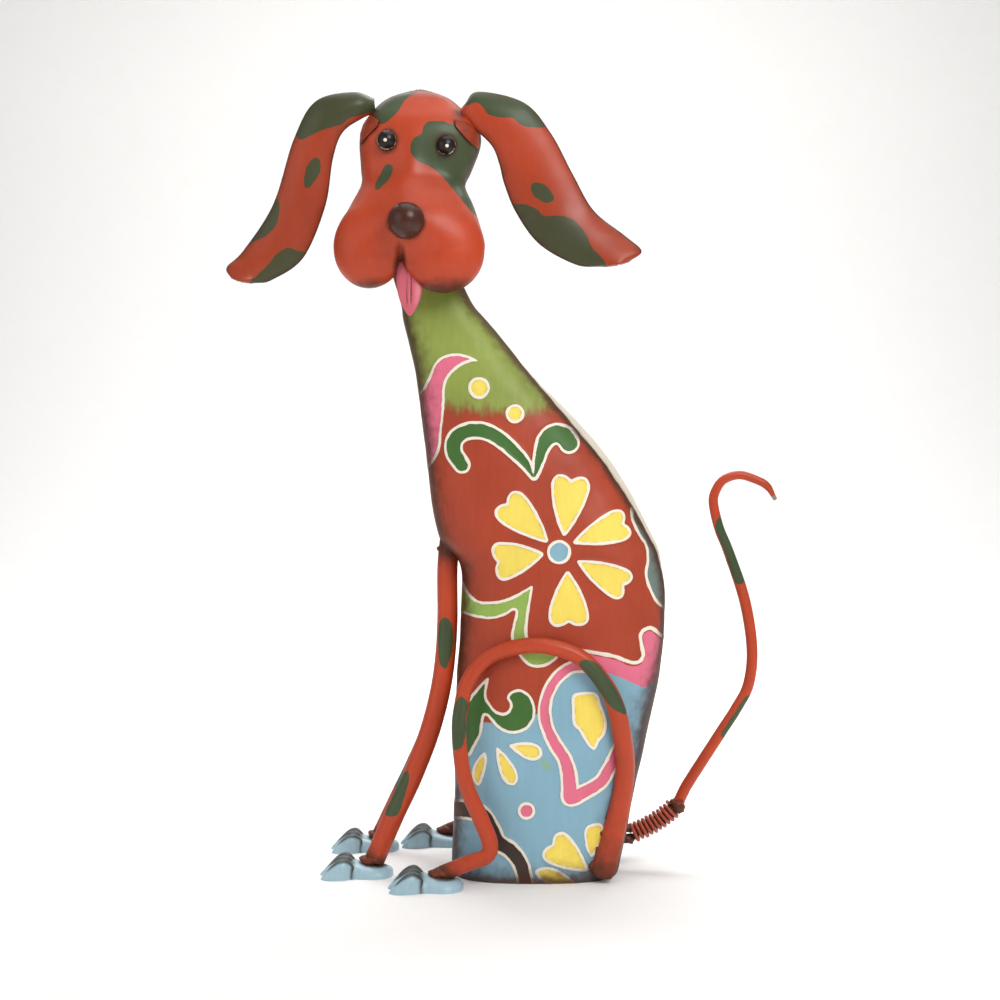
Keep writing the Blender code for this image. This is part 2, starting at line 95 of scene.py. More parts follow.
# Relief of the face: centre across and up, spread across and up, and how far it stands out
FACE_RELIEF = (
    ((-69.0, 352.0), (13.0, 11.0), 4.5), ((-67.5, 376.0), (9.0, 22.0), 3.0),
    ((-80.5, 386.0), (8.0, 10.0), -1.4), ((-50.0, 384.0), (8.0, 10.0), -1.4),
    ((-89.0, 339.0), (12.0, 14.0), 1.4), ((-50.0, 338.0), (13.0, 14.0), 1.4),
)
# The groove of the muzzle: across at its top and foot, top, foot, half width, depth
MUZZLE_GROOVE = (-71.8, -73.2, 343.0, 318.0, 1.9, 1.7)
NOSE = ((-68.3, -53.5, 351.3), 9.65)
EYES = {
    "right_eye": ((-79.8, -34.0, 397.6), 5.35, (385.2, 139.8)),
    "left_eye": ((-48.2, -33.0, 395.1), 5.35, (447.0, 145.6)),
}
# The pale ring painted round an eye near its edge as seen from the front, a painted highlight, as a
# share of its radius, and the radius of its white dot
EYE_RIM_HIGHLIGHT = 0.95
EYE_SPOT = 0.95
TONGUE_ROUTE = ((-67.6, -33.0, 332.5), (-67.6, -34.0, 322.0), (-67.4, -36.5, 303.2))
TONGUE_NARROWS = 0.30
# The tongue's two grooves: their places across, and their half width
TONGUE_GROOVES = ((-1.4, 0.7), 0.45)

# Ears: pairs of points on the outer and the inner edge, across and up
EARS = {
    "right_ear": (
        ((-87.6, 423.8), (-86.8, 416.0)), ((-99.0, 426.0), (-94.0, 411.6)),
        ((-119.1, 420.6), (-104.5, 403.7)), ((-131.1, 400.5), (-109.9, 389.6)),
        ((-142.5, 365.7), (-114.2, 364.6)), ((-158.8, 340.8), (-126.2, 336.9)),
        ((-167.4, 331.6), (-143.0, 324.5)), ((-166.0, 326.0), (-151.7, 322.3)),
    ),
    "left_ear": (
        ((-38.5, 420.5), (-43.6, 411.0)), ((-31.0, 426.2), (-35.5, 407.4)),
        ((-6.2, 420.0), (-24.1, 397.2)), ((8.5, 403.7), (-19.7, 387.4)),
        ((20.4, 382.0), (-17.0, 377.1)), ((31.8, 362.5), (-10.5, 361.4)),
        ((48.1, 348.9), (2.0, 344.0)), ((57.4, 340.2), (21.5, 332.6)),
        ((52.5, 334.8), (35.1, 331.0)),
    ),
}
EAR_DEPTHS = (19.0, 24.0, 25.0, 23.0, 21.0, 20.0, 22.0, 24.0, 25.0)
EAR_CUP = 4.0
EAR_SHEET_ROWS = 170
# How far each ear is darkened, at the top and at the tip: painted shade, partly a darker paint
EAR_SHADE = {"right_ear": (0.26, 0.34), "left_ear": (0.04, 0.30)}
# How long the rounding of the ear's tip is
EAR_TIP = 3.8
EAR_TIP_POWER = 2.6
# The end of each ear's strip that lies folded on the head: its two edges on the sheet
EAR_TABS = {
    "right_ear": (
        ((361, 144), (360, 136), (362.5, 126), (370, 115)),
        ((361, 144), (369, 134.5), (376.5, 127), (379, 121)),
    ),
    "left_ear": (
        ((455, 121), (466, 124), (477.5, 132.5), (480, 146)),
        ((456, 126.5), (463, 135), (470, 142.5), (477.5, 149)),
    ),
}

# Front legs: across, towards the left side, and up
FRONT_LEGS = {
    "left_front_leg": (
        (-46.0, 8.0, 190.0), (-48.2, 8.0, 168.0), (-48.3, 8.5, 135.0), (-51.0, 10.0, 106.0),
        (-57.5, 12.0, 79.0), (-67.5, 14.0, 53.0), (-77.0, 15.5, 33.0), (-88.0, 16.0, 0.0),
    ),
    "right_front_leg": (
        (-46.0, -7.0, 190.0), (-48.6, -8.0, 168.0), (-49.2, -14.0, 135.0),
        (-52.0, -25.0, 103.0), (-59.5, -36.0, 73.0), (-68.7, -42.0, 50.6),
        (-77.6, -47.0, 32.0), (-89.0, -50.0, 0.0),
    ),
}
# Hind legs: across, out from the torso's side, up, and the width as a share of the diameter
HIND_LEG = (
    (35.0, 0.0, 4.0, 1.0), (38.6, 0.0, 15.0, 1.0), (43.2, 0.0, 33.0, 1.20),
    (47.2, 0.0, 54.0, 1.20), (47.2, 0.0, 70.0, 1.16), (42.6, 0.0, 94.0, 1.10),
    (34.4, 0.0, 110.0, 1.04), (21.6, 0.0, 122.6, 1.0), (2.4, 0.0, 128.0, 0.98),
    (-16.0, 0.2, 125.6, 0.96), (-27.6, 1.0, 119.6, 0.94), (-36.0, 1.8, 109.0, 0.92),
    (-39.6, 2.4, 96.6, 0.90), (-41.0, 3.2, 80.4, 0.88), (-37.6, 4.4, 56.0, 0.94),
    (-29.4, 5.6, 36.4, 1.0), (-24.6, 6.4, 24.0, 1.0), (-26.4, 7.0, 17.0, 0.96),
    (-36.4, 7.6, 13.4, 0.96), (-50.0, 8.0, 0.0, 0.96),
)
THIGH_FLAT_POINTS = 3
THIGH_FRONT = -24.0
RIGHT_HIND_SPREAD = 17.0
LEG_END_RISE = 0.75
# Weld lumps between a thigh and the torso: height, and place ahead of the leg
THIGH_WELDS = ((9, -6.2), (17, -5.4), (26, -5.0), (35, -4.4))
FOOT_AHEAD = {"front": 9.5, "hind": 8.5}
# A foot's pad and toe: place along it, half width and height as shares of the foot's sizes
FOOT_PAD = (
    (-0.24, 0.30, 0.50), (-0.16, 0.40, 0.74), (-0.06, 0.40, 0.78), (0.04, 0.385, 0.72),
    (0.16, 0.41, 0.64), (0.28, 0.42, 0.58), (0.38, 0.37, 0.52), (0.45, 0.27, 0.44),
    (0.485, 0.16, 0.34), (0.50, 0.03, 0.22),
)
FOOT_TOE = (
    (-0.02, 0.10, 0.60), (-0.08, 0.145, 0.86), (-0.15, 0.165, 1.0), (-0.23, 0.165, 0.97),
    (-0.31, 0.155, 0.80), (-0.38, 0.13, 0.56), (-0.44, 0.09, 0.32), (-0.48, 0.045, 0.15),
    (-0.498, 0.01, 0.05),
)
SIDE_TOE_LENGTH = 0.93

SPRING_BASE_HEIGHT = 20.0
SPRING_RISE = math.radians(31.0)
SPRING_SAG = 1.3
TAIL_ROUTE = (
    (5.4, 8.8), (9.3, 15.7), (26.6, 42.5), (35.2, 55.8), (41.9, 69.2), (43.8, 89.2),
    (39.7, 115.9), (30.8, 142.7), (25.5, 156.0), (22.4, 169.4), (23.4, 176.2),
    (28.0, 182.8), (36.6, 185.5), (45.0, 183.3), (52.2, 179.4), (56.7, 172.2),
)
TAIL_TAPER_START = 0.6

# The paint is laid out on a sheet seen square to the dog's left side from a little way off.
# One unit of the sheet is about half a millimetre; the sheet's first axis runs to the back
# and its second one down.
SHEET_CENTRE = (500.0, 500.0)
SHEET_AT = (-19.2, 205.0)
SHEET_REACH = 1606.0
EYE_DISTANCE = 894.0
SHEET_UNIT = 0.533
LINE_HALF = 1.75
# How far a white line's relief slopes to each side
LINE_SLOPE = 0.85
# A distance that stands for nowhere near
FAR_OFF = 30.0

# Studio, in metres: the floor's length before its bend, the bend's radius, and the lights
# with their places, sizes and powers in watts
FLOOR_LENGTH = 3.6
FLOOR_BEND = 1.2
LIGHTS = (
    ("key", (0.55, -1.0, 1.0), 0.7, 10.5),
    ("fill", (-1.1, -0.9, 0.6), 1.2, 3.3),
    ("top", (0.15, 0.1, 1.6), 1.4, 6.6),
    ("backdrop", (0.0, 0.9, 1.4), 1.6, 36.0),
)

# Outlines along a petal: how far along, and how far to the side as a share of its half width
HEART_PETAL = (
    (0.0, 0.0), (0.02, 0.12), (0.24, 0.50), (0.50, 0.82), (0.75, 1.0), (0.90, 0.97),
    (0.99, 0.70), (0.985, 0.30), (0.93, 0.0),
)
DROP_PETAL = ((0.0, 0.0), (0.04, 0.16), (0.30, 0.66), (0.62, 1.0), (0.88, 0.78), (1.0, 0.0))

# The pattern by colour. A petal has its point, its end and its width, a dot its centre and
# radius, a stroke its middle line with half widths, and a field its outline.
PATTERN = {
    "yellow": (
        ("heart", (564, 536), (572, 475), 39), ("heart", (548, 542), (503, 500), 37),
        ("heart", (573, 543), (628, 522), 33), ("heart", (577, 561), (628, 588), 33),
        ("heart", (567.5, 571), (569, 627), 41), ("heart", (543.5, 554), (493, 563), 39),
        ("heart", (588, 871), (549, 842), 35), ("dot", (479, 388), 11.2),
        ("dot", (515, 413.7), 9.8), ("drop", (496, 746), (515, 786), 17),
        ("drop", (508, 745), (543, 755), 18),
        ("field", ((485, 752), (487, 765), (480, 786), (473, 780), (472, 770), (477, 759))),
        ("field", ((571.5, 697), (577, 692.5), (596, 692.5), (602, 706), (607, 720),
                   (606, 733), (600, 741), (594.5, 750.5), (587, 745), (580, 733),
                   (572.5, 723), (571.5, 708))),
        ("field", ((584, 831), (590, 824), (602, 824), (604, 838), (593, 857), (586, 849))),
        ("field", ((535, 870), (548, 866.5), (563, 872), (580, 888), (560, 892), (546, 884),
                   (538, 878))),
    ),
    "sky": (("dot", (559, 552.2), 12.4),),
    "pink": (
        ("field", ((478, 361), (467.5, 355), (452.5, 353), (440, 357.5), (432.5, 366),
                   (427, 380), (419, 392), (405, 400), (405, 440), (422, 470), (431, 466),
                   (440, 450), (442.5, 430), (445, 405), (445.5, 388), (450, 376),
                   (460, 367), (470, 362.5))),
        ("stroke", ((592, 667, 5.2), (573, 667, 5.2), (560, 675, 5.3), (551, 687, 5.4),
                    (545.5, 702, 5.5), (545, 718, 5.7), (549.5, 733, 5.9), (557.5, 748, 6.3),
                    (565, 760, 6.7), (569, 775, 7.4), (570, 790, 8), (571.5, 797, 8.4),
                    (584, 792, 7), (600, 782, 6.4), (612, 763, 6), (622, 740, 5.6))),
        ("dot", (526.5, 811), 9.2),
    ),
    "green": (
        ("stroke", ((462, 465, 7.4), (454, 452, 8), (455.5, 439, 8), (467, 431.5, 7.8),
                    (482.5, 431, 7.8), (498, 438, 7.4), (512.5, 450, 6.8),
                    (524, 462, 5.4), (533.5, 477, 2.2))),
        ("stroke", ((534.5, 477, 2.2), (537.5, 466, 4.6), (541, 452, 6.2), (546, 440, 8.4),
                    (555, 434, 9.4), (564, 436.5, 9.6), (569, 443.5, 9.2))),
        ("field", ((489, 677), (487, 695), (494, 708), (502.5, 712.5), (508, 710),
                   (509.5, 704), (506.5, 697.5), (511, 691), (520, 689), (529, 693.5),
                   (535, 704), (535, 718), (528, 729), (515, 734.5), (502.5, 731.5),
                   (494, 725), (485.5, 716), (482.5, 733), (476, 746), (469, 757),
                   (456, 760), (450, 740), (460, 712), (475, 690))),
    ),
    "lime": (
        ("field", ((450, 560), (465, 584), (472.5, 596), (482.5, 601), (497.5, 600.5),
                   (512.5, 596), (525, 589), (533, 586), (531, 602), (528.5, 620),
                   (528, 636), (534, 646), (546, 650), (557, 651), (558, 658), (547.5, 666),
                   (536, 668), (527, 665), (519, 656), (511, 640), (512.5, 625),
                   (515, 611), (502.5, 617), (490, 619.5), (475, 617.5), (464, 614),
                   (445, 606))),
    ),
    "grey": (
        ("field", ((632, 500), (630, 517), (636, 532), (644, 546), (645.5, 560),
                   (644, 575), (649, 592), (660, 607), (684, 612), (690, 560),
                   (660, 500), (645, 480))),
    ),
    "brown": (
        ("stroke", ((440, 809, 8.6), (465, 809.5, 8.6), (481, 814, 8.4), (491, 828, 8),
                    (498, 842, 7.8), (510, 850, 7.8), (519, 861, 7.6), (524, 875, 7.4),
                    (527, 895, 7.4))),
    ),
    "bare_pink": (
        ("field", ((582, 652), (600, 655), (615, 658), (630, 664), (639, 663), (643.5, 655),
                   (642, 645), (641, 636), (645, 631), (652.5, 630), (664, 639), (690, 650),
                   (690, 668), (664, 672), (653, 684), (645, 689), (633, 685), (620, 679),
                   (600, 672), (590, 665))),
    ),
    "white": (
        ("stroke", ((580, 650.5, 1.9), (600, 653.5, 1.9), (615, 656.5, 1.9),
                    (630, 662, 1.8), (639, 661.5, 1.8), (643, 654.5, 1.8),
                    (641.5, 645, 1.8), (640.5, 635, 1.8), (645, 629.5, 1.8),
                    (652.5, 628.3, 1.8), (664, 637.5, 1.6), (684, 646, 1.6))),
    ),
}
OUTLINED = ("yellow", "sky", "pink", "green", "lime", "grey", "brown")
# The small figures that only the left side carries
LEFT_SIDE_ONLY = {("yellow", 9), ("yellow", 10), ("yellow", 11), ("yellow", 13), ("pink", 2)}
# Where red gives way to the blue ground: the place along the sheet, and how far down
BLUE_EDGE = (
    (400, 748), (456, 745), (485, 722), (520, 726), (540, 712), (552, 682), (575, 662),
    (600, 662), (640, 678), (665, 676), (720, 676),
)
# A smudge of lime on the blue ground
SMUDGE = (546, 765)
# Where the lime neck gives way to red
NECK_EDGE = ((400, 404), (440, 406), (480, 411), (520, 415), (550, 408), (600, 400))

# Dark green patches on the red pieces, as outlines on the sheet
HEAD_PATCHES = (
    ((370, 118), (360, 96), (395, 82), (420, 84), (416, 91), (405, 100), (398, 111),
     (391, 118), (382, 124)),
    ((423, 127), (429, 121.5), (442, 121), (452, 124), (470, 128), (494, 138), (494, 228),
     (477, 217), (460, 198), (442, 176), (429, 166), (416.6, 160), (410, 150), (413, 139),
     (421, 134)),
    ((386, 164.5), (391, 165), (393, 169), (390, 177.5), (385, 184), (379, 189),
     (375, 189), (376, 182.5), (380, 174)),
)
EAR_PATCHES = {
    "right_ear": (
        ((296, 136), (286, 118), (315, 80), (390, 76), (390, 113), (375, 111), (361, 115),
         (350, 118), (340, 125), (325, 129), (315, 133), (303, 139)),
        ((315, 157.5), (320, 161), (320, 172.5), (311, 186), (305, 187.5), (304, 177.5),
         (307.5, 165)),
        ((279, 201), (279, 213), (276, 225), (269, 233), (256, 241), (240, 245),
         (240, 205), (268, 194)),
        ((251, 281), (257.5, 275), (267.5, 265), (277.5, 253), (287.5, 248), (297.5, 250.5),
         (307.5, 252.5), (322, 262), (300, 296), (250, 298)),
    ),
    "left_ear": (
        ((455, 108), (465, 106), (475, 103), (481, 105), (488, 114), (500, 117.5),
         (512.5, 118), (522.5, 126), (535, 127.5), (546, 126), (570, 112), (520, 76),
         (470, 80), (450, 98)),
        ((531, 185), (540, 182.5), (550, 190), (554, 200), (545, 202.5), (534, 196)),
        ((515, 204), (527.5, 205), (537.5, 210), (544, 216), (560, 215.5), (574, 220),
         (585, 232.5), (592.5, 247.5), (606, 264), (604, 282), (535, 292), (498, 240),
         (500, 204)),
    ),
}
LIMB_PATCHES = {
    "left_front_leg": (
        ((441, 619), (451, 622), (453, 645), (447, 667), (440, 664), (438, 640)),
        ((406, 771), (409.5, 777), (405, 795), (397.5, 815), (385, 814), (392, 797),
         (397.5, 782)),
    ),
    "right_front_leg": (
        ((446, 640), (456, 645), (452, 680), (442, 676)),
        ((404, 768), (412, 772), (400, 800), (388, 796)),
    ),
    "left_hind_leg": (
        ((460, 697), (468, 703), (466, 718), (465.5, 735), (461, 748), (450, 748),
         (449, 727), (453, 709)),
        ((579, 664), (584, 660), (595, 662), (606, 674), (617, 691), (627, 712),
         (620, 713), (610, 706), (600, 693), (590, 678)),
    ),
    "right_hind_leg": (
        ((470, 690), (480, 694), (476, 730), (464, 728)),
        ((575, 650), (600, 664), (612, 690), (598, 700), (584, 672)),
    ),
    "tail_rod": (
        ((717, 519), (722, 517), (727, 522), (738, 548), (745, 573), (745, 582),
         (735, 582), (726, 556), (716, 530)),
        ((746, 696), (751, 700), (737, 725), (728, 737), (721, 734), (734, 714)),
    ),
}


# Settings

def colour_setting(name, description, hexadecimal):
    """A colour in the panel, given as it looks on the screen."""
    channels = [int(hexadecimal[i:i + 2], 16) / 255 for i in (0, 2, 4)]
    linear = [c / 12.92 if c <= 0.04045 else ((c + 0.055) / 1.055) ** 2.4 for c in channels]
    return FloatVectorProperty(
        name=name, description=description, default=linear, size=3, subtype="COLOR",
        min=0.0, max=1.0,
    )


def length_setting(name, description, default):
    return FloatProperty(name=name, description=description, default=default,
                         subtype="DISTANCE", unit="LENGTH", min=0.0)


class DogSizes(bpy.types.PropertyGroup):
    torso_depth: length_setting("Torso depth", "Greatest depth of the torso", 0.080)
    line_relief: length_setting("Line relief", "How far the white lines stand out", 0.00045)
    sheet_thickness: length_setting("Sheet", "Thickness of the ears' sheet", 0.0013)
    front_leg: length_setting("Front legs", "Diameter of the front legs", 0.0112)
    hind_leg: length_setting("Hind legs", "Diameter of the hind legs", 0.0088)
    thigh_width: length_setting("Thigh end width", "Width of the pressed tube end", 0.0145)
    thigh_thickness: length_setting("Thigh end", "Thickness of the pressed end", 0.0085)
    foot_length: length_setting("Foot length", "Length of a foot", 0.040)
    foot_width: length_setting("Foot width", "Width of a foot", 0.028)
    foot_height: length_setting("Foot height", "Height of a foot", 0.0105)
    tongue_width: length_setting("Tongue width", "Width of the tongue", 0.0145)
    tongue_thickness: length_setting("Tongue", "Thickness of the tongue", 0.0018)
    rod: length_setting("Tail rod", "Diameter of the tail rod", 0.0062)
    rod_tip: length_setting("Tail tip", "Diameter of the rod's tip", 0.0044)
    spring_wire: length_setting("Spring wire", "Diameter of the spring's wire", 0.0020)
    spring_gap: length_setting("Spring gap", "Gap between two turns", 0.0006)
    spring_turns: IntProperty(name="Turns", description="Turns of the spring", default=10, min=2)


class DogColours(bpy.types.PropertyGroup):
    coat: colour_setting("Red coat", "Enamel of the head, ears, legs and tail", "B84120")
    patch: colour_setting("Patches", "Dark green patches on the red coat", "414D30")
    body: colour_setting("Torso red", "Brick red of the torso", "A83F24")
    neck: colour_setting("Neck", "Lime green of the neck", "8E9C48")
    ground: colour_setting("Blue ground", "Sky blue of the torso's foot", "85AEC0")
    ochre: colour_setting("Ochre", "Shade along the edges of the yellow", "D08A2C")
    yellow: colour_setting("Yellow", "Petals and dots", "F4DA60")
    pink: colour_setting("Pink", "Ribbons and dot", "E2708A")
    green: colour_setting("Scroll green", "Scrolls", "3F6A2C")
    lime: colour_setting("Lime", "The bent band", "93B253")
    grey: colour_setting("Grey leaf", "Leaf beside the back seam", "70807A")
    brown: colour_setting("Brown band", "Band near the base", "3C302A")
    white: colour_setting("Lines", "Raised lines round the figures", "F0E7D6")
    # The back strip's pale colour is partly a painted reflection; the eyes' painted rim highlight uses
    # it too
    strip: colour_setting("Back strip", "The strip behind the seam", "D3C9B6")
    # This brown darkens edges, creases, corners and undersides: brown antiquing and painted shade
    wash_and_shade: colour_setting("Wash and Shade", "Brown wash in corners and along edges", "452512")
    nose: colour_setting("Nose", "Nose ball", "442013")
    eye: colour_setting("Eyes", "Eye balls", "140B08")
    tongue: colour_setting("Tongue", "Tongue", "CC5F6E")
    # The feet's grey-brown darkening: darker on the backs of the toes, and painted shade between the
    # toes and round the leg
    stain_and_shade: colour_setting("Foot stain", "Grey-brown wash of the feet", "33342C")
    foot: colour_setting("Feet", "Pale blue of the feet", "A0BDC8")
    spring: colour_setting("Spring", "Spring and weld lumps", "A3452F")
    steel: colour_setting("Bare steel", "Metal where the paint is worn", "8E857A")
    floor: colour_setting("Floor", "Studio floor and backdrop", "F8F7F5")


# Curves, outlines and distances

def curve_through(points, steps):
    """A smooth curve through rows of numbers, with this many steps from each to the next."""
    rows = np.array(points, float)
    held = np.vstack([2 * rows[0] - rows[1], rows, 2 * rows[-1] - rows[-2]])
    t = (np.arange(steps) / steps)[:, None]
    spans = [
        0.5 * (2 * b + (c - a) * t + (2 * a - 5 * b + 4 * c - d) * t * t
               + (3 * b - a - 3 * c + d) * t ** 3)
        for a, b, c, d in zip(held, held[1:], held[2:], held[3:])
    ]
    return np.vstack([*spans, rows[-1:]])


def closed_curve(points, steps):
    """A smooth closed curve through the points."""
    rows = np.array(points, float)
    long = np.vstack([rows[-2:], rows, rows[:3]])
    return curve_through(long, steps)[2 * steps:-2 * steps - 1]


def evenly(path, count):
    """The path again with points at even distances."""
    steps = np.linalg.norm(np.diff(path[:, :3], axis=0), axis=1)
    far = np.concatenate([[0.0], np.cumsum(steps)])
    at = np.linspace(0.0, far[-1], count)
    return np.column_stack([np.interp(at, far, path[:, k]) for k in range(path.shape[1])])


def squarish(angle, squareness):
    """Points of a unit circle pressed towards a square."""
    c, s = np.cos(angle), np.sin(angle)
    return (np.sign(c) * np.abs(c) ** (2 / squareness),
            np.sign(s) * np.abs(s) ** (2 / squareness))


def smooth(value, low, high):
    """0 below low, 1 above high and a soft step between."""
    t = np.clip((value - low) / (high - low), 0.0, 1.0)
    return t * t * (3 - 2 * t)


def on_sheet(x, y, z):
    """Where points of the model fall on the sheet, which either side carries mirrored."""
    scale = SHEET_REACH / (EYE_DISTANCE - np.abs(y))
    return (SHEET_CENTRE[0] + (x - SHEET_AT[0]) * scale,
            SHEET_CENTRE[1] - (z - SHEET_AT[1]) * scale)


def off_sheet(u, v, y):
    """The place across and up of a point of the sheet at a depth in the model."""
    scale = (EYE_DISTANCE + y) / SHEET_REACH
    return (u - SHEET_CENTRE[0]) * scale + SHEET_AT[0], SHEET_AT[1] - (v - SHEET_CENTRE[1]) * scale


def outline_distance(outline, u, v):
    """Signed distance to a closed outline, less than nothing inside."""
    best, inside = np.full(len(u), 1e9), np.zeros(len(u), bool)
    for (ax, ay), (bx, by) in zip(outline, np.roll(outline, -1, axis=0)):
        ex, ey = bx - ax, by - ay
        t = np.clip(((u - ax) * ex + (v - ay) * ey) / (ex * ex + ey * ey + 1e-12), 0, 1)
        best = np.minimum(best, (u - ax - t * ex) ** 2 + (v - ay - t * ey) ** 2)
        if ay != by:
            inside ^= ((ay > v) != (by > v)) & (u < ex * (v - ay) / ey + ax)
    return np.where(inside, -1, 1) * np.sqrt(best)


def stroke_distance(line, u, v):
    """Signed distance to a round-ended stroke whose line holds half widths."""
    best = np.full(len(u), 1e9)
    for (ax, ay, aw), (bx, by, bw) in zip(line, line[1:]):
        ex, ey = bx - ax, by - ay
        t = np.clip(((u - ax) * ex + (v - ay) * ey) / (ex * ex + ey * ey + 1e-12), 0, 1)
        best = np.minimum(best, np.hypot(u - ax - t * ex, v - ay - t * ey) - aw - t * (bw - aw))
    return best


def petal_outline(profile, tip, end, width):
    """The outline of a petal from its point to its far end."""
    tip, end = np.array(tip, float), np.array(end, float)
    along = end - tip
    side = np.array([-along[1], along[0]]) / np.linalg.norm(along) * width / 2
    half = curve_through(profile, 5)
    right = [tip + along * a + side * b for a, b in half]
    left = [tip + along * a - side * b for a, b in half[::-1][1:-1]]
    return np.array(right + left)


def figure_distance(figure, u, v):
    """Signed distance to the middle of a figure's white line, in sheet units."""
    kind, *data = figure
    if kind == "stroke":
        line = curve_through(data[0], 6)
        low, high = line[:, :2].min(0), line[:, :2].max(0)
    elif kind == "dot":
        low, high = np.array(data[0]) - data[1], np.array(data[0]) + data[1]
    else:
        if kind == "field":
            line = closed_curve(data[0], 6)
        else:
            line = petal_outline(HEART_PETAL if kind == "heart" else DROP_PETAL, *data)
        low, high = line.min(0), line.max(0)
    near = (u > low[0] - 14) & (u < high[0] + 14) & (v > low[1] - 14) & (v < high[1] + 14)
    found = np.full(len(u), 30.0)
    if kind == "stroke":
        found[near] = stroke_distance(line, u[near], v[near])
    elif kind == "dot":
        (cx, cy), radius = data
        found[near] = np.hypot(u[near] - cx, v[near] - cy) - radius + LINE_HALF
    else:
        found[near] = outline_distance(line, u[near], v[near]) + LINE_HALF
    return found


def patches_distance(patches, u, v):
    """Signed distance in millimetres to the nearest of some painted patches."""
    found = [outline_distance(closed_curve(p, 6), u, v) for p in patches]
    return np.min(found, axis=0) * SHEET_UNIT


# Meshes

def add_skin(bm, rings):
    """A closed skin over rings of points, rows by columns, in millimetres."""
    rows, columns = rings.shape[:2]
    layer = bm.verts.layers.int.get("place") or bm.verts.layers.int.new("place")
    base = max((v[layer] for v in bm.verts), default=-1) + 1
    made = bmesh.ops.create_grid(bm, x_segments=columns, y_segments=rows - 1, size=1.0)["verts"]
    held = {}
    for vert in made:
        at = round((vert.co.y + 1) / 2 * (rows - 1)), round((vert.co.x + 1) / 2 * columns)
        held[at] = vert
        vert[layer] = base + at[0] * columns + at[1] % columns
        vert.co = rings[at[0], at[1] % columns] * MM
    bmesh.ops.weld_verts(bm, targetmap={held[r, columns]: held[r, 0] for r in range(rows)})
    for row in (0, rows - 1):
        loop = [held[row, c] for c in range(columns)]
        edges = [bm.edges.get((a, b)) for a, b in zip(loop, loop[1:] + loop[:1])]
        bmesh.ops.contextual_create(bm, geom=edges)


def add_object(name, bm, material, sharp_degrees=50):
    """A finished piece that stands for the solid of its name and rides on the root."""
    bmesh.ops.recalc_face_normals(bm, faces=bm.faces)
    mesh = bpy.data.meshes.new(name)
    bm.to_mesh(mesh)
    bm.free()
    mesh.shade_smooth()
    mesh.set_sharp_from_angle(angle=math.radians(sharp_degrees))
    mesh.materials.append(material)
    thing = bpy.data.objects.new(name + "_skin", mesh)
    bpy.context.scene.collection.objects.link(thing)
    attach(thing, "root")
    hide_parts(name)
    return thing


def vertex_places(mesh):
    """The vertices' places in millimetres, as three rows."""
    flat = np.empty(len(mesh.vertices) * 3)
    mesh.vertices.foreach_get("co", flat)
    return flat.reshape(-1, 3).T / MM


def grid_values(mesh, values):
    """Values laid out as the rings were, in the order of the mesh's vertices."""
    place = np.empty(len(mesh.vertices), np.int32)
    mesh.attributes["place"].data.foreach_get("value", place)
    return values.ravel()[place]


def store(mesh, name, values):
    """A number at every vertex for the materials to read."""
    attribute = mesh.attributes.new(name, "FLOAT", "POINT")
    attribute.data.foreach_set("value", np.asarray(values, np.float32))


def swept_rings(route, sizes, sides):
    """Oval rings along a route: sizes hold the half width, then the half thickness to -Y."""
    route = np.asarray(route, float)
    ahead = np.gradient(route, axis=0)
    ahead /= np.linalg.norm(ahead, axis=1)[:, None]
    turn = np.linspace(0, 2 * math.pi, sides, endpoint=False)
    side, rings = np.array([0.0, -1.0, 0.0]), []
    for point, along, (half, thick) in zip(route, ahead, sizes):
        side = side - along * side.dot(along)
        side /= np.linalg.norm(side)
        wide = np.cross(along, side)
        rings.append(point + np.outer(np.cos(turn) * half, wide)
                     + np.outer(np.sin(turn) * thick, side))
    return np.array(rings)


def rounded_end(route, sizes, at_start, length):
    """Extra rings that close a tube's end softly."""
    index, inner = (0, 1) if at_start else (-1, -2)
    away = route[index] - route[inner]
    away = away / np.linalg.norm(away)
    steps = np.sin(np.linspace(0, math.pi / 2, 6))[1:]
    more = np.array([route[index] + away * length * s for s in steps])
    small = np.array([np.array(sizes[index]) * max(0.04, math.sqrt(1 - s * s)) for s in steps])
    if at_start:
        return np.vstack([more[::-1], route]), np.vstack([small[::-1], sizes])
    return np.vstack([route, more]), np.vstack([sizes, small])


def add_lump(bm, centre, sizes):
    """A small lump of weld metal."""
    layer = bm.verts.layers.int["place"]
    base = max(v[layer] for v in bm.verts) + 1
    made = bmesh.ops.create_uvsphere(bm, u_segments=16, v_segments=10, radius=1.0)["verts"]
    for vert in made:
        vert[layer] = base
        wobble = 1 + 0.12 * math.sin(5.1 * vert.co.x + 3.3 * vert.co.z + centre[0])
        vert.co = [(c + k * s * wobble) * MM for c, k, s in zip(centre, vert.co, sizes)]


# Materials

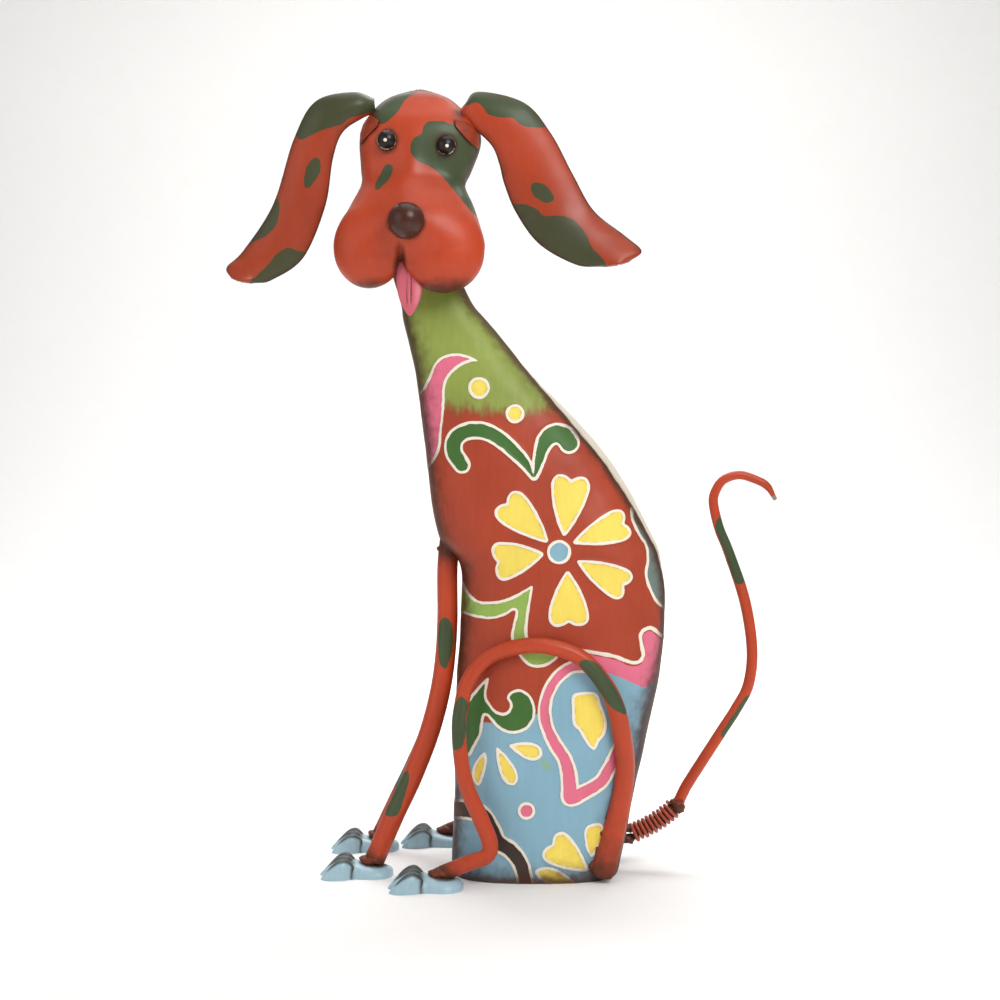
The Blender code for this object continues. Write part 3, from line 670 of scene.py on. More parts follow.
class Wiring:
    """Adds nodes to a tree; each call gives back the new node's output."""

    def __init__(self, tree):
        self.tree = tree

    def add(self, kind, inputs, out=0, **settings):
        node = self.tree.nodes.new(kind)
        for key, value in settings.items():
            setattr(node, key, value)
        for key, value in inputs.items():
            if isinstance(value, bpy.types.NodeSocket):
                self.tree.links.new(value, node.inputs[key])
            else:
                node.inputs[key].default_value = value
        return node.outputs[out]

    def math(self, operation, first, second=0.0, clamp=False):
        return self.add("ShaderNodeMath", {0: first, 1: second}, operation=operation,
                        use_clamp=clamp)

    def mix(self, factor, first, second):
        return self.add("ShaderNodeMix", {0: factor, 6: first, 7: second}, out=2,
                        data_type="RGBA")

    def step(self, value, low, high):
        """0 below low and 1 above high; the other way round where low is the larger."""
        return self.add("ShaderNodeMapRange", {0: value, 1: low, 2: high},
                        interpolation_type="SMOOTHSTEP")

    def noise(self, position, scale, detail=2.0, stretch=(1, 1, 1)):
        moved = self.add("ShaderNodeMapping", {"Vector": position, "Scale": stretch})
        return self.add("ShaderNodeTexNoise",
                        {"Vector": moved, "Scale": scale, "Detail": detail})

    def wobble(self, position, scale, detail, amount):
        """Noise to both sides of nothing."""
        off = self.math("SUBTRACT", self.noise(position, scale, detail), 0.5)
        return self.math("MULTIPLY", off, amount)

    def value(self, name):
        return self.add("ShaderNodeAttribute", {}, out="Fac", attribute_name=name)

    def group(self, tree, inputs):
        node = self.tree.nodes.new("ShaderNodeGroup")
        node.node_tree = tree
        for key, value in inputs.items():
            if isinstance(value, bpy.types.NodeSocket):
                self.tree.links.new(value, node.inputs[key])
            else:
                node.inputs[key].default_value = value
        return node.outputs


def new_group(name, inputs, outputs):
    """An empty shared effect: its tree, its wiring, and its named inputs."""
    tree = bpy.data.node_groups.new(name, "ShaderNodeTree")
    for title, kind, default in inputs:
        socket = tree.interface.new_socket(name=title, in_out="INPUT", socket_type="NodeSocket" + kind)
        if default is not None:
            socket.default_value = default
    for title, kind in outputs:
        tree.interface.new_socket(name=title, in_out="OUTPUT", socket_type="NodeSocket" + kind)
    entry = tree.nodes.new("NodeGroupInput")
    return tree, Wiring(tree), entry.outputs


def close_group(tree, results):
    leaving = tree.nodes.new("NodeGroupOutput")
    for title, socket in results.items():
        tree.links.new(socket, leaving.inputs[title])
    return tree


def paint_tone():
    """Uneven hand-laid paint: broad clouds and fine brush streaks in its brightness."""
    tree = bpy.data.node_groups.get("paint_tone")
    if tree:
        return tree
    tree, w, given = new_group(
        "paint_tone",
        (("Color", "Color", (1, 1, 1, 1)), ("Position", "Vector", None),
         ("Amount", "Float", 0.2)),
        (("Color", "Color"),),
    )
    clouds = w.noise(given["Position"], 28, 3)
    streaks = w.noise(given["Position"], 420, 2, (1, 1, 0.12))
    both = w.math("ADD", w.math("MULTIPLY", clouds, 0.7), w.math("MULTIPLY", streaks, 0.3))
    value = w.math("ADD", w.math("MULTIPLY", w.math("SUBTRACT", both, 0.5),
                                 w.math("MULTIPLY", given["Amount"], 2.0)), 1.0)
    toned = w.add("ShaderNodeHueSaturation", {"Color": given["Color"], "Value": value})
    return close_group(tree, {"Color": toned})


def antique_wash_and_shade():
    """Brown antiquing and painted shade laid into corners, creases and along edges, broken up and
    speckled.
    """
    tree = bpy.data.node_groups.get("antique_wash_and_shade")
    if tree:
        return tree
    tree, w, given = new_group(
        "antique_wash_and_shade",
        (("Color", "Color", (1, 1, 1, 1)), ("Wash Color", "Color", (0.1, 0.05, 0.03, 1)),
         ("Wash and Shade", "Float", 0.0), ("Position", "Vector", None)),
        (("Color", "Color"), ("Mask", "Float")),
    )
    shifted = w.math("ADD", given["Wash and Shade"], w.wobble(given["Position"], 190, 5, 0.55))
    film = w.math("MULTIPLY", w.step(shifted, 0.08, 0.82), 0.92)
    specks = w.step(w.noise(given["Position"], 1500, 2), 0.62, 0.72)
    near = w.step(shifted, 0.10, 0.45)
    mask = w.math("MAXIMUM", film, w.math("MULTIPLY", w.math("MULTIPLY", specks, near), 0.6))
    stained = w.mix(mask, given["Color"], given["Wash Color"])
    return close_group(tree, {"Color": stained, "Mask": mask})


def outlined_figure():
    """A painted figure and the raised line round it, from the distance to the line."""
    tree = bpy.data.node_groups.get("outlined_figure")
    if tree:
        return tree
    tree, w, given = new_group(
        "outlined_figure",
        (("Base", "Color", (1, 1, 1, 1)), ("Fill", "Color", (1, 1, 1, 1)),
         ("Line Color", "Color", (1, 1, 1, 1)), ("Wash Color", "Color", (0.1, 0.05, 0.03, 1)),
         ("Distance", "Float", 10.0),
         ("Half Width", "Float", 0.74), ("Position", "Vector", None)),
        (("Color", "Color"),),
    )
    distance = w.math("ADD", given["Distance"], w.wobble(given["Position"], 260, 3, 0.9))
    filled = w.mix(w.step(distance, 0.12, -0.12), given["Base"], given["Fill"])
    width = w.math("ADD", given["Half Width"], w.wobble(given["Position"], 130, 2.0, 0.7))
    past = w.math("SUBTRACT", w.math("ABSOLUTE", distance), width)
    # A broken dark band beside each line: brown antiquing and painted shade at the foot of the raised
    # line
    broken = w.step(w.noise(given["Position"], 330, 3), 0.40, 0.62)
    edge_wash_and_shade = w.math("MULTIPLY", w.step(past, 0.75, 0.0), broken)
    filled = w.mix(w.math("MULTIPLY", edge_wash_and_shade, 0.42), filled, given["Wash Color"])
    line = w.step(past, 0.14, -0.14)
    return close_group(tree, {"Color": w.mix(line, filled, given["Line Color"])})


def painted_patch():
    """A flat patch of a second colour with a soft brushed edge."""
    tree = bpy.data.node_groups.get("painted_patch")
    if tree:
        return tree
    tree, w, given = new_group(
        "painted_patch",
        (("Base", "Color", (1, 1, 1, 1)), ("Fill", "Color", (0, 0, 0, 1)),
         ("Distance", "Float", 10.0), ("Position", "Vector", None)),
        (("Color", "Color"),),
    )
    distance = w.math("ADD", given["Distance"], w.wobble(given["Position"], 240, 4, 1.2))
    mask = w.step(distance, 0.22, -0.22)
    return close_group(tree, {"Color": w.mix(mask, given["Base"], given["Fill"])})


def enamel_grain():
    """The small unevenness of brushed enamel, for bump and for gloss."""
    tree = bpy.data.node_groups.get("enamel_grain")
    if tree:
        return tree
    tree, w, given = new_group(
        "enamel_grain", (("Position", "Vector", None),),
        (("Height", "Float"), ("Gloss", "Float")),
    )
    swell = w.noise(given["Position"], 75, 2)
    skin = w.noise(given["Position"], 900, 2)
    height = w.math("ADD", w.math("MULTIPLY", swell, 0.8), w.math("MULTIPLY", skin, 0.10))
    return close_group(tree, {"Height": height, "Gloss": w.noise(given["Position"], 55, 4)})


def rgba(colour):
    return (*colour, 1.0)


def finish_material(name, paint, roughness, stain_and_shade=None, coat=0.35, bump=0.10):
    """A material: paint(wiring, position) gives the colour before the brown antiquing, the painted shade
    and the gloss.
    """
    material = bpy.data.materials.get(name)
    if material:
        return material
    colours = bpy.context.scene.dog_colours
    material = bpy.data.materials.new(name)
    material.use_nodes = True
    w = Wiring(material.node_tree)
    shader = material.node_tree.nodes["Principled BSDF"]
    position = w.add("ShaderNodeTexCoord", {}, out="Object")
    washed_and_shaded = w.group(antique_wash_and_shade(), {
        "Color": paint(w, position), "Wash Color": rgba(stain_and_shade or colours.wash_and_shade),
        "Wash and Shade": w.value("wash_and_shade"), "Position": position})
    grain = w.group(enamel_grain(), {"Position": position})
    rough = w.add("ShaderNodeMapRange", {0: grain["Gloss"], 1: 0.3, 2: 0.7, 3: roughness[0],
                                         4: roughness[1]})
    rough = w.math("ADD", rough, w.math("MULTIPLY", washed_and_shaded["Mask"], 0.22), clamp=True)
    relief = w.add("ShaderNodeBump", {"Strength": bump, "Distance": 0.001,
                                      "Height": grain["Height"]})
    links = material.node_tree.links
    links.new(washed_and_shaded["Color"], shader.inputs["Base Color"])
    links.new(rough, shader.inputs["Roughness"])
    links.new(relief, shader.inputs["Normal"])
    shader.inputs["Specular IOR Level"].default_value = 0.32
    shader.inputs["Coat Weight"].default_value = coat
    shader.inputs["Coat Roughness"].default_value = 0.22
    return material


def toned(w, position, colour, amount=0.2):
    return w.group(paint_tone(), {"Color": colour, "Position": position, "Amount": amount})["Color"]


def torso_paint():
    """The torso's fields, figures, lines, seams and back strip, whose pale colour is partly a painted
    reflection.
    """
    colours = bpy.context.scene.dog_colours

    def paint(w, position):
        streak = w.math("SUBTRACT", w.noise(position, 520, 3, (1, 1, 0.10)), 0.5)
        cloud = w.math("SUBTRACT", w.noise(position, 150, 3), 0.5)
        neck = w.math("ADD", w.value("neck_edge"), w.math("MULTIPLY", streak, 9.0))
        neck = w.math("ADD", neck, w.math("MULTIPLY", cloud, 9.0))
        red = toned(w, position, rgba(colours.body), 0.34)
        lime = toned(w, position, rgba(colours.neck), 0.36)
        colour = w.mix(w.step(neck, -3.8, 3.8), lime, red)
        smear = w.math("MULTIPLY", w.step(w.math("ABSOLUTE", neck), 6.5, 0.0), 0.34)
        colour = w.mix(smear, colour, (0.16, 0.055, 0.022, 1))
        blue = toned(w, position, rgba(colours.ground), 0.16)
        blue_edge = w.math("ADD", w.value("blue_edge"), w.math("MULTIPLY", cloud, 1.5))
        colour = w.mix(w.step(blue_edge, -0.4, 0.4), colour, blue)
        smudge = w.math("MULTIPLY", w.step(w.math("ADD", w.value("smudge"), cloud), 2.4, 0.0), 0.5)
        colour = w.mix(smudge, colour, rgba(colours.lime))
        colour = w.group(painted_patch(), {
            "Base": colour, "Fill": toned(w, position, rgba(colours.pink), 0.22),
            "Distance": w.value("bare_pink"), "Position": position})["Color"]
        colour = w.group(painted_patch(), {
            "Base": colour, "Fill": rgba(colours.white), "Distance": w.value("white"),
            "Position": position})["Color"]
        for name in ("lime", "green", "grey", "pink", "brown", "yellow", "sky"):
            fill = rgba(colours.ground if name == "sky" else getattr(colours, name))
            if name == "yellow":
                edge = w.step(w.math("ADD", w.value(name), w.math("MULTIPLY", cloud, 5.0)), -4.2, -1.0)
                fill = w.mix(w.math("MULTIPLY", edge, 0.07), fill, rgba(colours.ochre))
            colour = w.group(outlined_figure(), {
                "Base": colour, "Fill": toned(w, position, fill, 0.2),
                "Wash Color": rgba(colours.wash_and_shade),
                "Line Color": toned(w, position, rgba(colours.white), 0.16),
                "Distance": w.value(name), "Position": position})["Color"]
        # The back strip's pale colour: partly pale paint, partly a painted reflection
        strip = w.step(w.value("strip"), -0.3, 0.3)
        colour = w.mix(strip, colour, toned(w, position, rgba(colours.strip), 0.2))
        seam = w.step(w.math("ADD", w.value("seam"), w.math("MULTIPLY", cloud, 0.8)), 0.75, 0.25)
        return w.mix(seam, colour, (0.055, 0.028, 0.016, 1))

    return finish_material("painted_torso", paint, roughness=(0.44, 0.62), coat=0.05)


def red_paint():
    """Red enamel with dark green patches, on the head, ears, legs and tail."""
    colours = bpy.context.scene.dog_colours

    def paint(w, position):
        colour = w.group(painted_patch(), {
            "Base": toned(w, position, rgba(colours.coat), 0.3),
            "Fill": toned(w, position, rgba(colours.patch), 0.28),
            "Distance": w.value("patch"), "Position": position})["Color"]
        # The shade attribute darkens the ears as painted shade, partly a darker paint
        shaded = w.mix(w.value("shade"), colour, rgba(colours.wash_and_shade))
        metal = w.step(w.value("bare"), 0.35, 0.65)
        return w.mix(metal, shaded, rgba(colours.steel))

    return finish_material("painted_red", paint, roughness=(0.34, 0.50), coat=0.12)


def ball_paint(name, colour):
    """Dark glossy paint of the nose or an eye, with a dot of white and a broken pale rim near its edge,
    a painted highlight, where there is one.
    """
    def paint(w, position):
        colours = bpy.context.scene.dog_colours
        dot = w.step(w.value("dot"), 0.12, -0.12)
        # A broken pale rim near the eye's edge as seen from the front: a painted highlight
        rim_highlight = w.math("MULTIPLY", w.step(w.value("rim_highlight"), 0.14, -0.05),
                      w.step(w.noise(position, 420, 2), 0.42, 0.60))
        base = w.mix(rim_highlight, toned(w, position, rgba(colour), 0.5), rgba(colours.strip))
        return w.mix(dot, base, rgba(colours.white))

    return finish_material(name, paint, roughness=(0.26, 0.42), coat=0.14, bump=0.2)


def tongue_paint():
    colours = bpy.context.scene.dog_colours

    def paint(w, position):
        return toned(w, position, rgba(colours.tongue), 0.25)

    return finish_material("painted_tongue", paint, roughness=(0.38, 0.52))


def foot_paint():
    colours = bpy.context.scene.dog_colours

    def paint(w, position):
        return toned(w, position, rgba(colours.foot), 0.35)

    return finish_material("painted_foot", paint, stain_and_shade=colours.stain_and_shade, roughness=(0.30, 0.46),
                           coat=0.3)


def spring_paint():
    colours = bpy.context.scene.dog_colours

    def paint(w, position):
        worn = w.step(w.noise(position, 380, 4), 0.60, 0.72)
        colour = toned(w, position, rgba(colours.spring), 0.6)
        return w.mix(w.math("MULTIPLY", worn, 0.35), colour, rgba(colours.coat))

    return finish_material("painted_spring", paint, roughness=(0.34, 0.50))


# Torso

def torso_section(height):
    """Front edge, back edge and half depth of the torso at heights."""
    levels = curve_through(TORSO_STATIONS, 24)
    deep = bpy.context.scene.dog_sizes.torso_depth / MM / 2
    return (np.interp(height, levels[:, 0], levels[:, 1]),
            np.interp(height, levels[:, 0], levels[:, 2]),
            np.interp(height, levels[:, 0], levels[:, 3]) * deep)


def torso_side(x, height):
    """How far the torso's side stands from its middle plane."""
    front, back, depth = torso_section(height)
    off = np.abs(x - (front + back) / 2) / ((back - front) / 2)
    return depth * np.maximum(0.0, 1 - off ** TORSO_SQUARENESS) ** (1 / TORSO_SQUARENESS)


def torso_angles(columns):
    """Angles round the torso, closer together on the painted left side."""
    angle = np.linspace(0, 2 * math.pi, 8001)
    across, deep = squarish(angle, TORSO_SQUARENESS)
    steps = np.hypot(np.diff(across * 57), np.diff(deep * 38))
    steps *= np.where(deep[1:] < 0.2, 1.0, 0.5)
    far = np.concatenate([[0], np.cumsum(steps)])
    return np.interp(np.linspace(0, far[-1], columns, endpoint=False), far, angle)


def torso_figures(u, v, limit, left):
    """Signed distances to the figures of each colour, in millimetres."""
    found = {}
    for name, figures in PATTERN.items():
        best = np.full(len(u), 16.0)
        for index, figure in enumerate(figures):
            distance = figure_distance(figure, u, v) * SHEET_UNIT
            if (name, index) in LEFT_SIDE_ONLY:
                distance = np.where(left, distance, 16.0)
            best = np.minimum(best, distance)
        found[name] = np.maximum(best, limit)
    return found


def torso_dents(x, y, z):
    """Long and short dents of a hand-beaten sheet, in millimetres."""
    long_dents = 0.30 * np.sin(x * 0.115 + 1.3 * np.sin(z * 0.048)) * np.sin(z * 0.083 + 0.6)
    return long_dents + 0.12 * np.sin(x * 0.31 + 2.0) * np.sin(z * 0.24 + y * 0.1)


def seam_beads(front_seam, back_seam):
    """A low bead at the front, and one beside the groove of each back seam, in millimetres."""
    bead = 0.15 * np.exp(-(front_seam / 1.1) ** 2)
    bead += 0.35 * np.exp(-((back_seam - 1.1) / 0.8) ** 2) - 0.25 * np.exp(-(back_seam / 0.5) ** 2)
    return bead


def torso_wash_and_shade(u, v, y, z, ahead, seam_at, depth):
    """How much the torso is darkened at the front, on the back strip, at the base and the neck: brown
    antiquing and painted shade where the sides turn away and under the head, and darker towards the
    bottom.
    """
    edge_u = u.min(axis=1)[:, None]
    seam_u = np.where(ahead | (np.abs(y) < seam_at), -1e9, u).max(axis=1)[:, None]
    # Darker towards the front edge and where the side turns away: painted shade with brown antiquing
    corner = 0.40 + 0.60 * smooth(np.abs(y) / depth[:, None], 0.15, 0.50)
    front_wash_and_shade = np.where(ahead, 1.15 * corner * np.exp(-np.maximum(u - edge_u, 0) / 9.5), 0.0)
    # Darker towards the back seam, wider low down: painted shade with brown antiquing
    wide = np.interp(v, (300, 380, 430, 640, 700, 860), (12.0, 9.0, 6.0, 5.0, 15.0, 17.0))
    back_wash_and_shade = np.where(ahead, 0.0, 1.05 * np.exp(-np.maximum(seam_u - u, 0) / wide))
    # Darker towards the bottom
    base_darkening = 0.95 * np.exp(-np.maximum(z - 0.5, 0) / 7.0)
    on_strip = ~ahead & (np.abs(y) < seam_at)
    back_wash_and_shade = np.where(on_strip, 0.45 * np.exp(-(seam_at - np.abs(y)) / 2.0), back_wash_and_shade)
    wash_and_shade = 1 - (1 - front_wash_and_shade * 0.9) * (1 - back_wash_and_shade) * (1 - base_darkening)
    # Darker just under the head: painted shade
    neck_top = 0.6 * np.exp(-np.maximum(NECK_TOP - 6 - z, 0) / 5.0)
    return np.maximum(wash_and_shade, neck_top)


def build_torso():
    sizes = bpy.context.scene.dog_sizes
    rows, columns = TORSO_GRID
    angle = torso_angles(columns)
    height = np.linspace(0, NECK_TOP + 1.5, rows)
    front, back, depth = torso_section(np.minimum(height, NECK_TOP))
    across, deep = squarish(angle, TORSO_SQUARENESS)
    rim = 1 - BASE_RIM[0] * np.exp(-height / BASE_RIM[1])
    middle, half = (front + back) / 2, (back - front) / 2 * rim
    x = middle[:, None] + half[:, None] * across
    y = (depth * rim)[:, None] * deep
    z = np.repeat(height[:, None], columns, axis=1)
    skin = np.stack([x, y, z], axis=-1)
    round_step = np.roll(skin, -1, axis=1) - np.roll(skin, 1, axis=1)
    normal = np.cross(round_step, np.gradient(skin, axis=0))
    normal /= np.linalg.norm(normal, axis=-1)[..., None]

    u, v = on_sheet(x, y, z)
    ahead = x < middle[:, None]
    seam_at = np.interp(height, *np.array(BACK_SEAM).T)[:, None]
    limit = np.where(ahead, FRONT_GAP - np.abs(y), seam_at - np.abs(y))
    figures = torso_figures(u.ravel(), v.ravel(), limit.ravel(), (y < 0).ravel())
    lines = np.min([np.abs(figures[name]) for name in OUTLINED], axis=0)
    lines = np.minimum(lines, np.abs(figures["white"] + LINE_HALF * SHEET_UNIT))
    raised = (np.exp(-(lines / LINE_SLOPE) ** 2) * sizes.line_relief / MM).reshape(rows, columns)
    flat = np.clip(np.minimum(height, NECK_TOP - height) / TORSO_END, 0, 1)[:, None]
    back_seam = np.where(ahead, FAR_OFF, np.abs(np.abs(y) - seam_at))
    front_seam = np.where(ahead, np.abs(y), FAR_OFF)
    beaten = torso_dents(x, y, z) + seam_beads(front_seam, back_seam)
    skin = skin + normal * (raised + beaten * flat)[..., None]
    skin[..., 2] = np.maximum(skin[..., 2], 0.0)
    bm = bmesh.new()
    add_skin(bm, skin)
    mesh = add_object("torso", bm, torso_paint()).data

    neck = np.interp(u, *np.array(NECK_EDGE).T)
    blue = np.interp(u, *np.array(BLUE_EDGE).T)
    layout = {
        "neck_edge": (v - neck) * SHEET_UNIT, "blue_edge": (v - blue) * SHEET_UNIT,
        "strip": np.where(ahead, -20.0, seam_at - np.abs(y)),
        "seam": np.minimum(back_seam, front_seam + 0.2),
        "smudge": np.where(y < 0, np.hypot(u - SMUDGE[0] - (v - SMUDGE[1]) * 0.8,
                                           (v - SMUDGE[1]) * 0.6) - 2.6, FAR_OFF),
        "wash_and_shade": torso_wash_and_shade(u, v, y, z, ahead, seam_at, depth),
    }
    for name, values in {**layout, **figures}.items():
        store(mesh, name, grid_values(mesh, values))


# Head

def head_field(x, y, z):
    """About how far points lie outside the head."""
    table = curve_through(HEAD_STATIONS, 10)
    left, right, front, back = (np.interp(z, table[:, 0], table[:, k]) for k in (1, 2, 3, 4))
    relief = sum(
        out * np.exp(-((x - cx) / wide) ** 2 - ((z - cz) / tall) ** 2)
        for (cx, cz), (wide, tall), out in FACE_RELIEF
    )
    half = (right - left) / 2
    reach = np.where(y < -HEAD_WIDEST, front - HEAD_WIDEST + relief,
                     HEAD_WIDEST - back)
    across, deep = np.abs((x - (left + right) / 2) / half), np.abs(y + HEAD_WIDEST) / reach
    power = HEAD_SQUARENESS
    body = ((across ** power + deep ** power) ** (1 / power) - 1) * np.minimum(half, reach)
    cap = np.maximum(z - HEAD_STATIONS[-1][0], NECK_TOP - z)
    near = np.clip(0.5 + 0.5 * (cap - body) / 7.5, 0, 1)
    field = cap * near + body * (1 - near) + 7.5 * near * (1 - near)
    for centre, radii in JOWLS:
        far = np.sqrt(sum(((p - c) / r) ** 2 for p, c, r in zip((x, y, z), centre, radii)))
        jowl, blend = (far - 1) * min(radii), 5.0
        share = np.clip(0.5 + 0.5 * (jowl - field) / blend, 0, 1)
        field = jowl * (1 - share) + field * share - blend * share * (1 - share)
    top_x, foot_x, top, foot, wide, deep = MUZZLE_GROOVE
    line = np.interp(z, (foot, top), (foot_x, top_x))
    groove = np.exp(-((x - line) / wide) ** 2) * smooth(z, top + 4, top - 6) * smooth(y, -18, -26)
    return field + deep * groove


def head_front(x, z):
    """How far forward the head's face stands at places across and up."""
    near, far = np.full(np.shape(x), -90.0), np.full(np.shape(x), -HEAD_WIDEST)
    for _ in range(26):
        middle = (near + far) / 2
        outside = head_field(x, middle, z) > 0
        near, far = np.where(outside, middle, near), np.where(outside, far, middle)
    return far


def head_wash_and_shade(x, y, z, u, v):
    """Darkening round the nose, eyes and ear tabs, in the muzzle's groove, on the rim, on top and below:
    painted shade in hollows and creases, on the turned-away sides, on the crown and under the jowls,
    with brown antiquing.
    """
    wash_and_shade = np.zeros(len(x))
    for centre, radius in [NOSE, *[(c, r) for c, r, _ in EYES.values()]]:
        away = np.sqrt(sum((p - c) ** 2 for p, c in zip((x, y, z), centre))) - radius
        wash_and_shade = np.maximum(wash_and_shade, 0.85 * np.exp(-np.maximum(away, 0) / 1.5))
    top_x, foot_x, top, foot, wide, _ = MUZZLE_GROOVE
    line = np.interp(z, (foot, top), (foot_x, top_x))
    spread = wide * np.interp(z, (foot, top), (2.2, 1.6))
    groove = np.exp(-((x - line) / spread) ** 2) * smooth(z, top + 4, top - 14)
    groove *= smooth(y, -15, -25)
    # The head's sides, turning away from the front, darker: painted shade
    rim = 0.72 * smooth(y, -31, -16) * (1 - 0.75 * smooth(y, -14, 2))
    # Darker round the ear roots: painted shade
    for root, reach in (((371, 113), 11.0), ((461, 112), 10.0)):
        away = np.hypot(u - root[0], v - root[1]) / reach
        wash_and_shade = np.maximum(wash_and_shade, 0.72 * np.exp(-away ** 2) * (y < -8))
    # The crown darker on top: painted shade
    wash_and_shade = np.maximum(wash_and_shade, 0.55 * smooth(z, 419, 429))
    # Darker under the jowls and low on the sides: painted shade
    under = 0.75 * smooth(z, 327, 317) + 0.4 * smooth(y, -34, -18) * smooth(z, 352, 334)
    for edges in EAR_TABS.values():
        tab = np.array([*edges[0], *edges[1][::-1]], float)
        away = outline_distance(tab, u, v) * SHEET_UNIT
        wash_and_shade = np.maximum(wash_and_shade, 0.95 * np.exp(-np.maximum(away, 0) / 1.1) * (y < -HEAD_WIDEST))
    return np.maximum.reduce([wash_and_shade, groove * 0.95, rim, under])


def build_head():
    bm = bmesh.new()
    made = bmesh.ops.create_uvsphere(bm, u_segments=288, v_segments=176, radius=1.0)["verts"]
    rays = np.array([v.co for v in made])
    rays /= np.linalg.norm(rays, axis=1)[:, None]
    centre = np.array(HEAD_CENTRE)
    low, high = np.zeros(len(rays)), np.full(len(rays), 130.0)
    for _ in range(26):
        reach = (low + high) / 2
        points = centre + rays * reach[:, None]
        inside = head_field(*points.T) < 0
        low, high = np.where(inside, reach, low), np.where(inside, high, reach)
    for vert, point in zip(made, (centre + rays * low[:, None]) * MM):
        vert.co = point
    mesh = add_object("head", bm, red_paint(), 70).data
    x, y, z = vertex_places(mesh)
    u, v = on_sheet(x, np.minimum(y, 0), z)
    store(mesh, "patch", patches_distance(HEAD_PATCHES, u, v))
    store(mesh, "wash_and_shade", head_wash_and_shade(x, y, z, u, v))
    store(mesh, "bare", np.zeros(len(x)))


def build_ball(name, kind, colour, centre, radius, dot=None):
    """The nose or an eye."""
    bm = bmesh.new()
    made = bmesh.ops.create_uvsphere(bm, u_segments=64, v_segments=40, radius=radius * MM)["verts"]
    for vert in made:
        vert.co = Vector((vert.co.x, vert.co.z, vert.co.y)) + Vector(centre) * MM
    mesh = add_object(name, bm, ball_paint(kind, colour)).data
    x, y, z = vertex_places(mesh)
    u, v = on_sheet(x, y, z)
    spot, rim_highlight = np.full(len(x), 10.0), np.full(len(x), 10.0)
    if dot:
        off = np.hypot(x - centre[0], z - centre[2])
        rim_highlight = np.where(y < centre[1], np.abs(off - EYE_RIM_HIGHLIGHT * radius) - 0.10, 10.0)
        spot = np.where(y < centre[1], np.hypot(u - dot[0], v - dot[1]) * SHEET_UNIT - EYE_SPOT, 10.0)
    store(mesh, "dot", spot)
    store(mesh, "rim_highlight", rim_highlight)
    # Darker where the ball meets the head: painted shade
    sunk = head_field(x, y, z)
    store(mesh, "wash_and_shade", 0.7 * np.exp(-np.maximum(sunk, 0) / 1.2))


def build_tongue():
    sizes = bpy.context.scene.dog_sizes
    route = evenly(curve_through(TONGUE_ROUTE, 24), 60)
    share = np.linspace(0, 1, len(route))
    past = np.maximum(0.0, share - TONGUE_NARROWS) / (1.004 - TONGUE_NARROWS)
    half = sizes.tongue_width / MM / 2 * (1 - past ** 2) ** 0.75
    turn = np.linspace(0, 2 * math.pi, 48, endpoint=False)
    across = np.cos(turn)[None, :] * half[:, None]
    ridge = np.sin(turn)[None, :] * sizes.tongue_thickness / MM / 2 * np.sqrt(half / half.max())[:, None]
    places, groove_half = TONGUE_GROOVES
    grooves = sum(np.exp(-((across - at) / groove_half) ** 2) for at in places)
    grooves = grooves * smooth(share, 0.86, 0.70)[:, None] * (np.sin(turn) < 0)
    cup = 0.9 * (across / half.max()) ** 2
    skin = np.stack([route[:, 0, None] + across,
                     route[:, 1, None] + ridge + cup + 0.4 * grooves,
                     np.repeat(route[:, 2, None], len(turn), axis=1)], axis=-1)
    bm = bmesh.new()
    add_skin(bm, skin)
    mesh = add_object("tongue", bm, tongue_paint(), 60).data
    # Darker in the grooves and towards the edges: painted shade with brown antiquing
    edge = 0.25 * smooth(np.abs(across) / np.maximum(half[:, None], 0.1), 0.8, 1.0)
    store(mesh, "wash_and_shade", grid_values(mesh, np.maximum(grooves * 0.85, edge)))


def ear_skin(pairs, thickness):
    """Front and back of a cupped strip of sheet with round edges."""
    stations = [(*outer, *inner, deep) for (outer, inner), deep in zip(pairs, EAR_DEPTHS)]
    rows = curve_through(stations, 24)
    middle = (rows[:, :2] + rows[:, 2:4]) / 2
    half = (rows[:, 2:4] - rows[:, :2]) / 2
    ahead = middle[-1] - middle[-4]
    last = middle[-1] + ahead / np.linalg.norm(ahead) * 1.6
    middle = evenly(np.column_stack([np.vstack([middle, last]), np.vstack([half, half[-1]]),
                                     np.append(rows[:, 4], rows[-1, 4])]),
                    EAR_SHEET_ROWS)
    far = np.concatenate([[0], np.cumsum(np.linalg.norm(np.diff(middle[:, :2], axis=0), axis=1))])
    past = np.clip(1 - (far[-1] - far) / EAR_TIP, 0, 0.999)
    half = middle[:, 2:4] * ((1 - past ** EAR_TIP_POWER) ** (1 / EAR_TIP_POWER))[:, None]
    rows = np.column_stack([middle[:, :2] - half, middle[:, :2] + half, middle[:, 4]])
    share = (1 - np.cos(np.linspace(0, math.pi, 29))) / 2
    ax, az, bx, bz, depth = (rows[:, k, None] for k in range(5))
    x, z = ax + (bx - ax) * share, az + (bz - az) * share
    y = -(depth + EAR_CUP * (1 - (2 * share - 1) ** 2))
    thick = thickness / 2 * np.sqrt(np.clip(1 - np.abs(2 * share - 1) ** 8, 0.05, 1))
    front = np.stack([x, y - thick, z], axis=-1)
    rear = np.stack([x, y + thick, z], axis=-1)[:, ::-1]
    edge = np.abs(2 * share - 1) * np.ones_like(x)
    return np.concatenate([front, rear], axis=1), np.concatenate([edge, edge[:, ::-1]], axis=1)


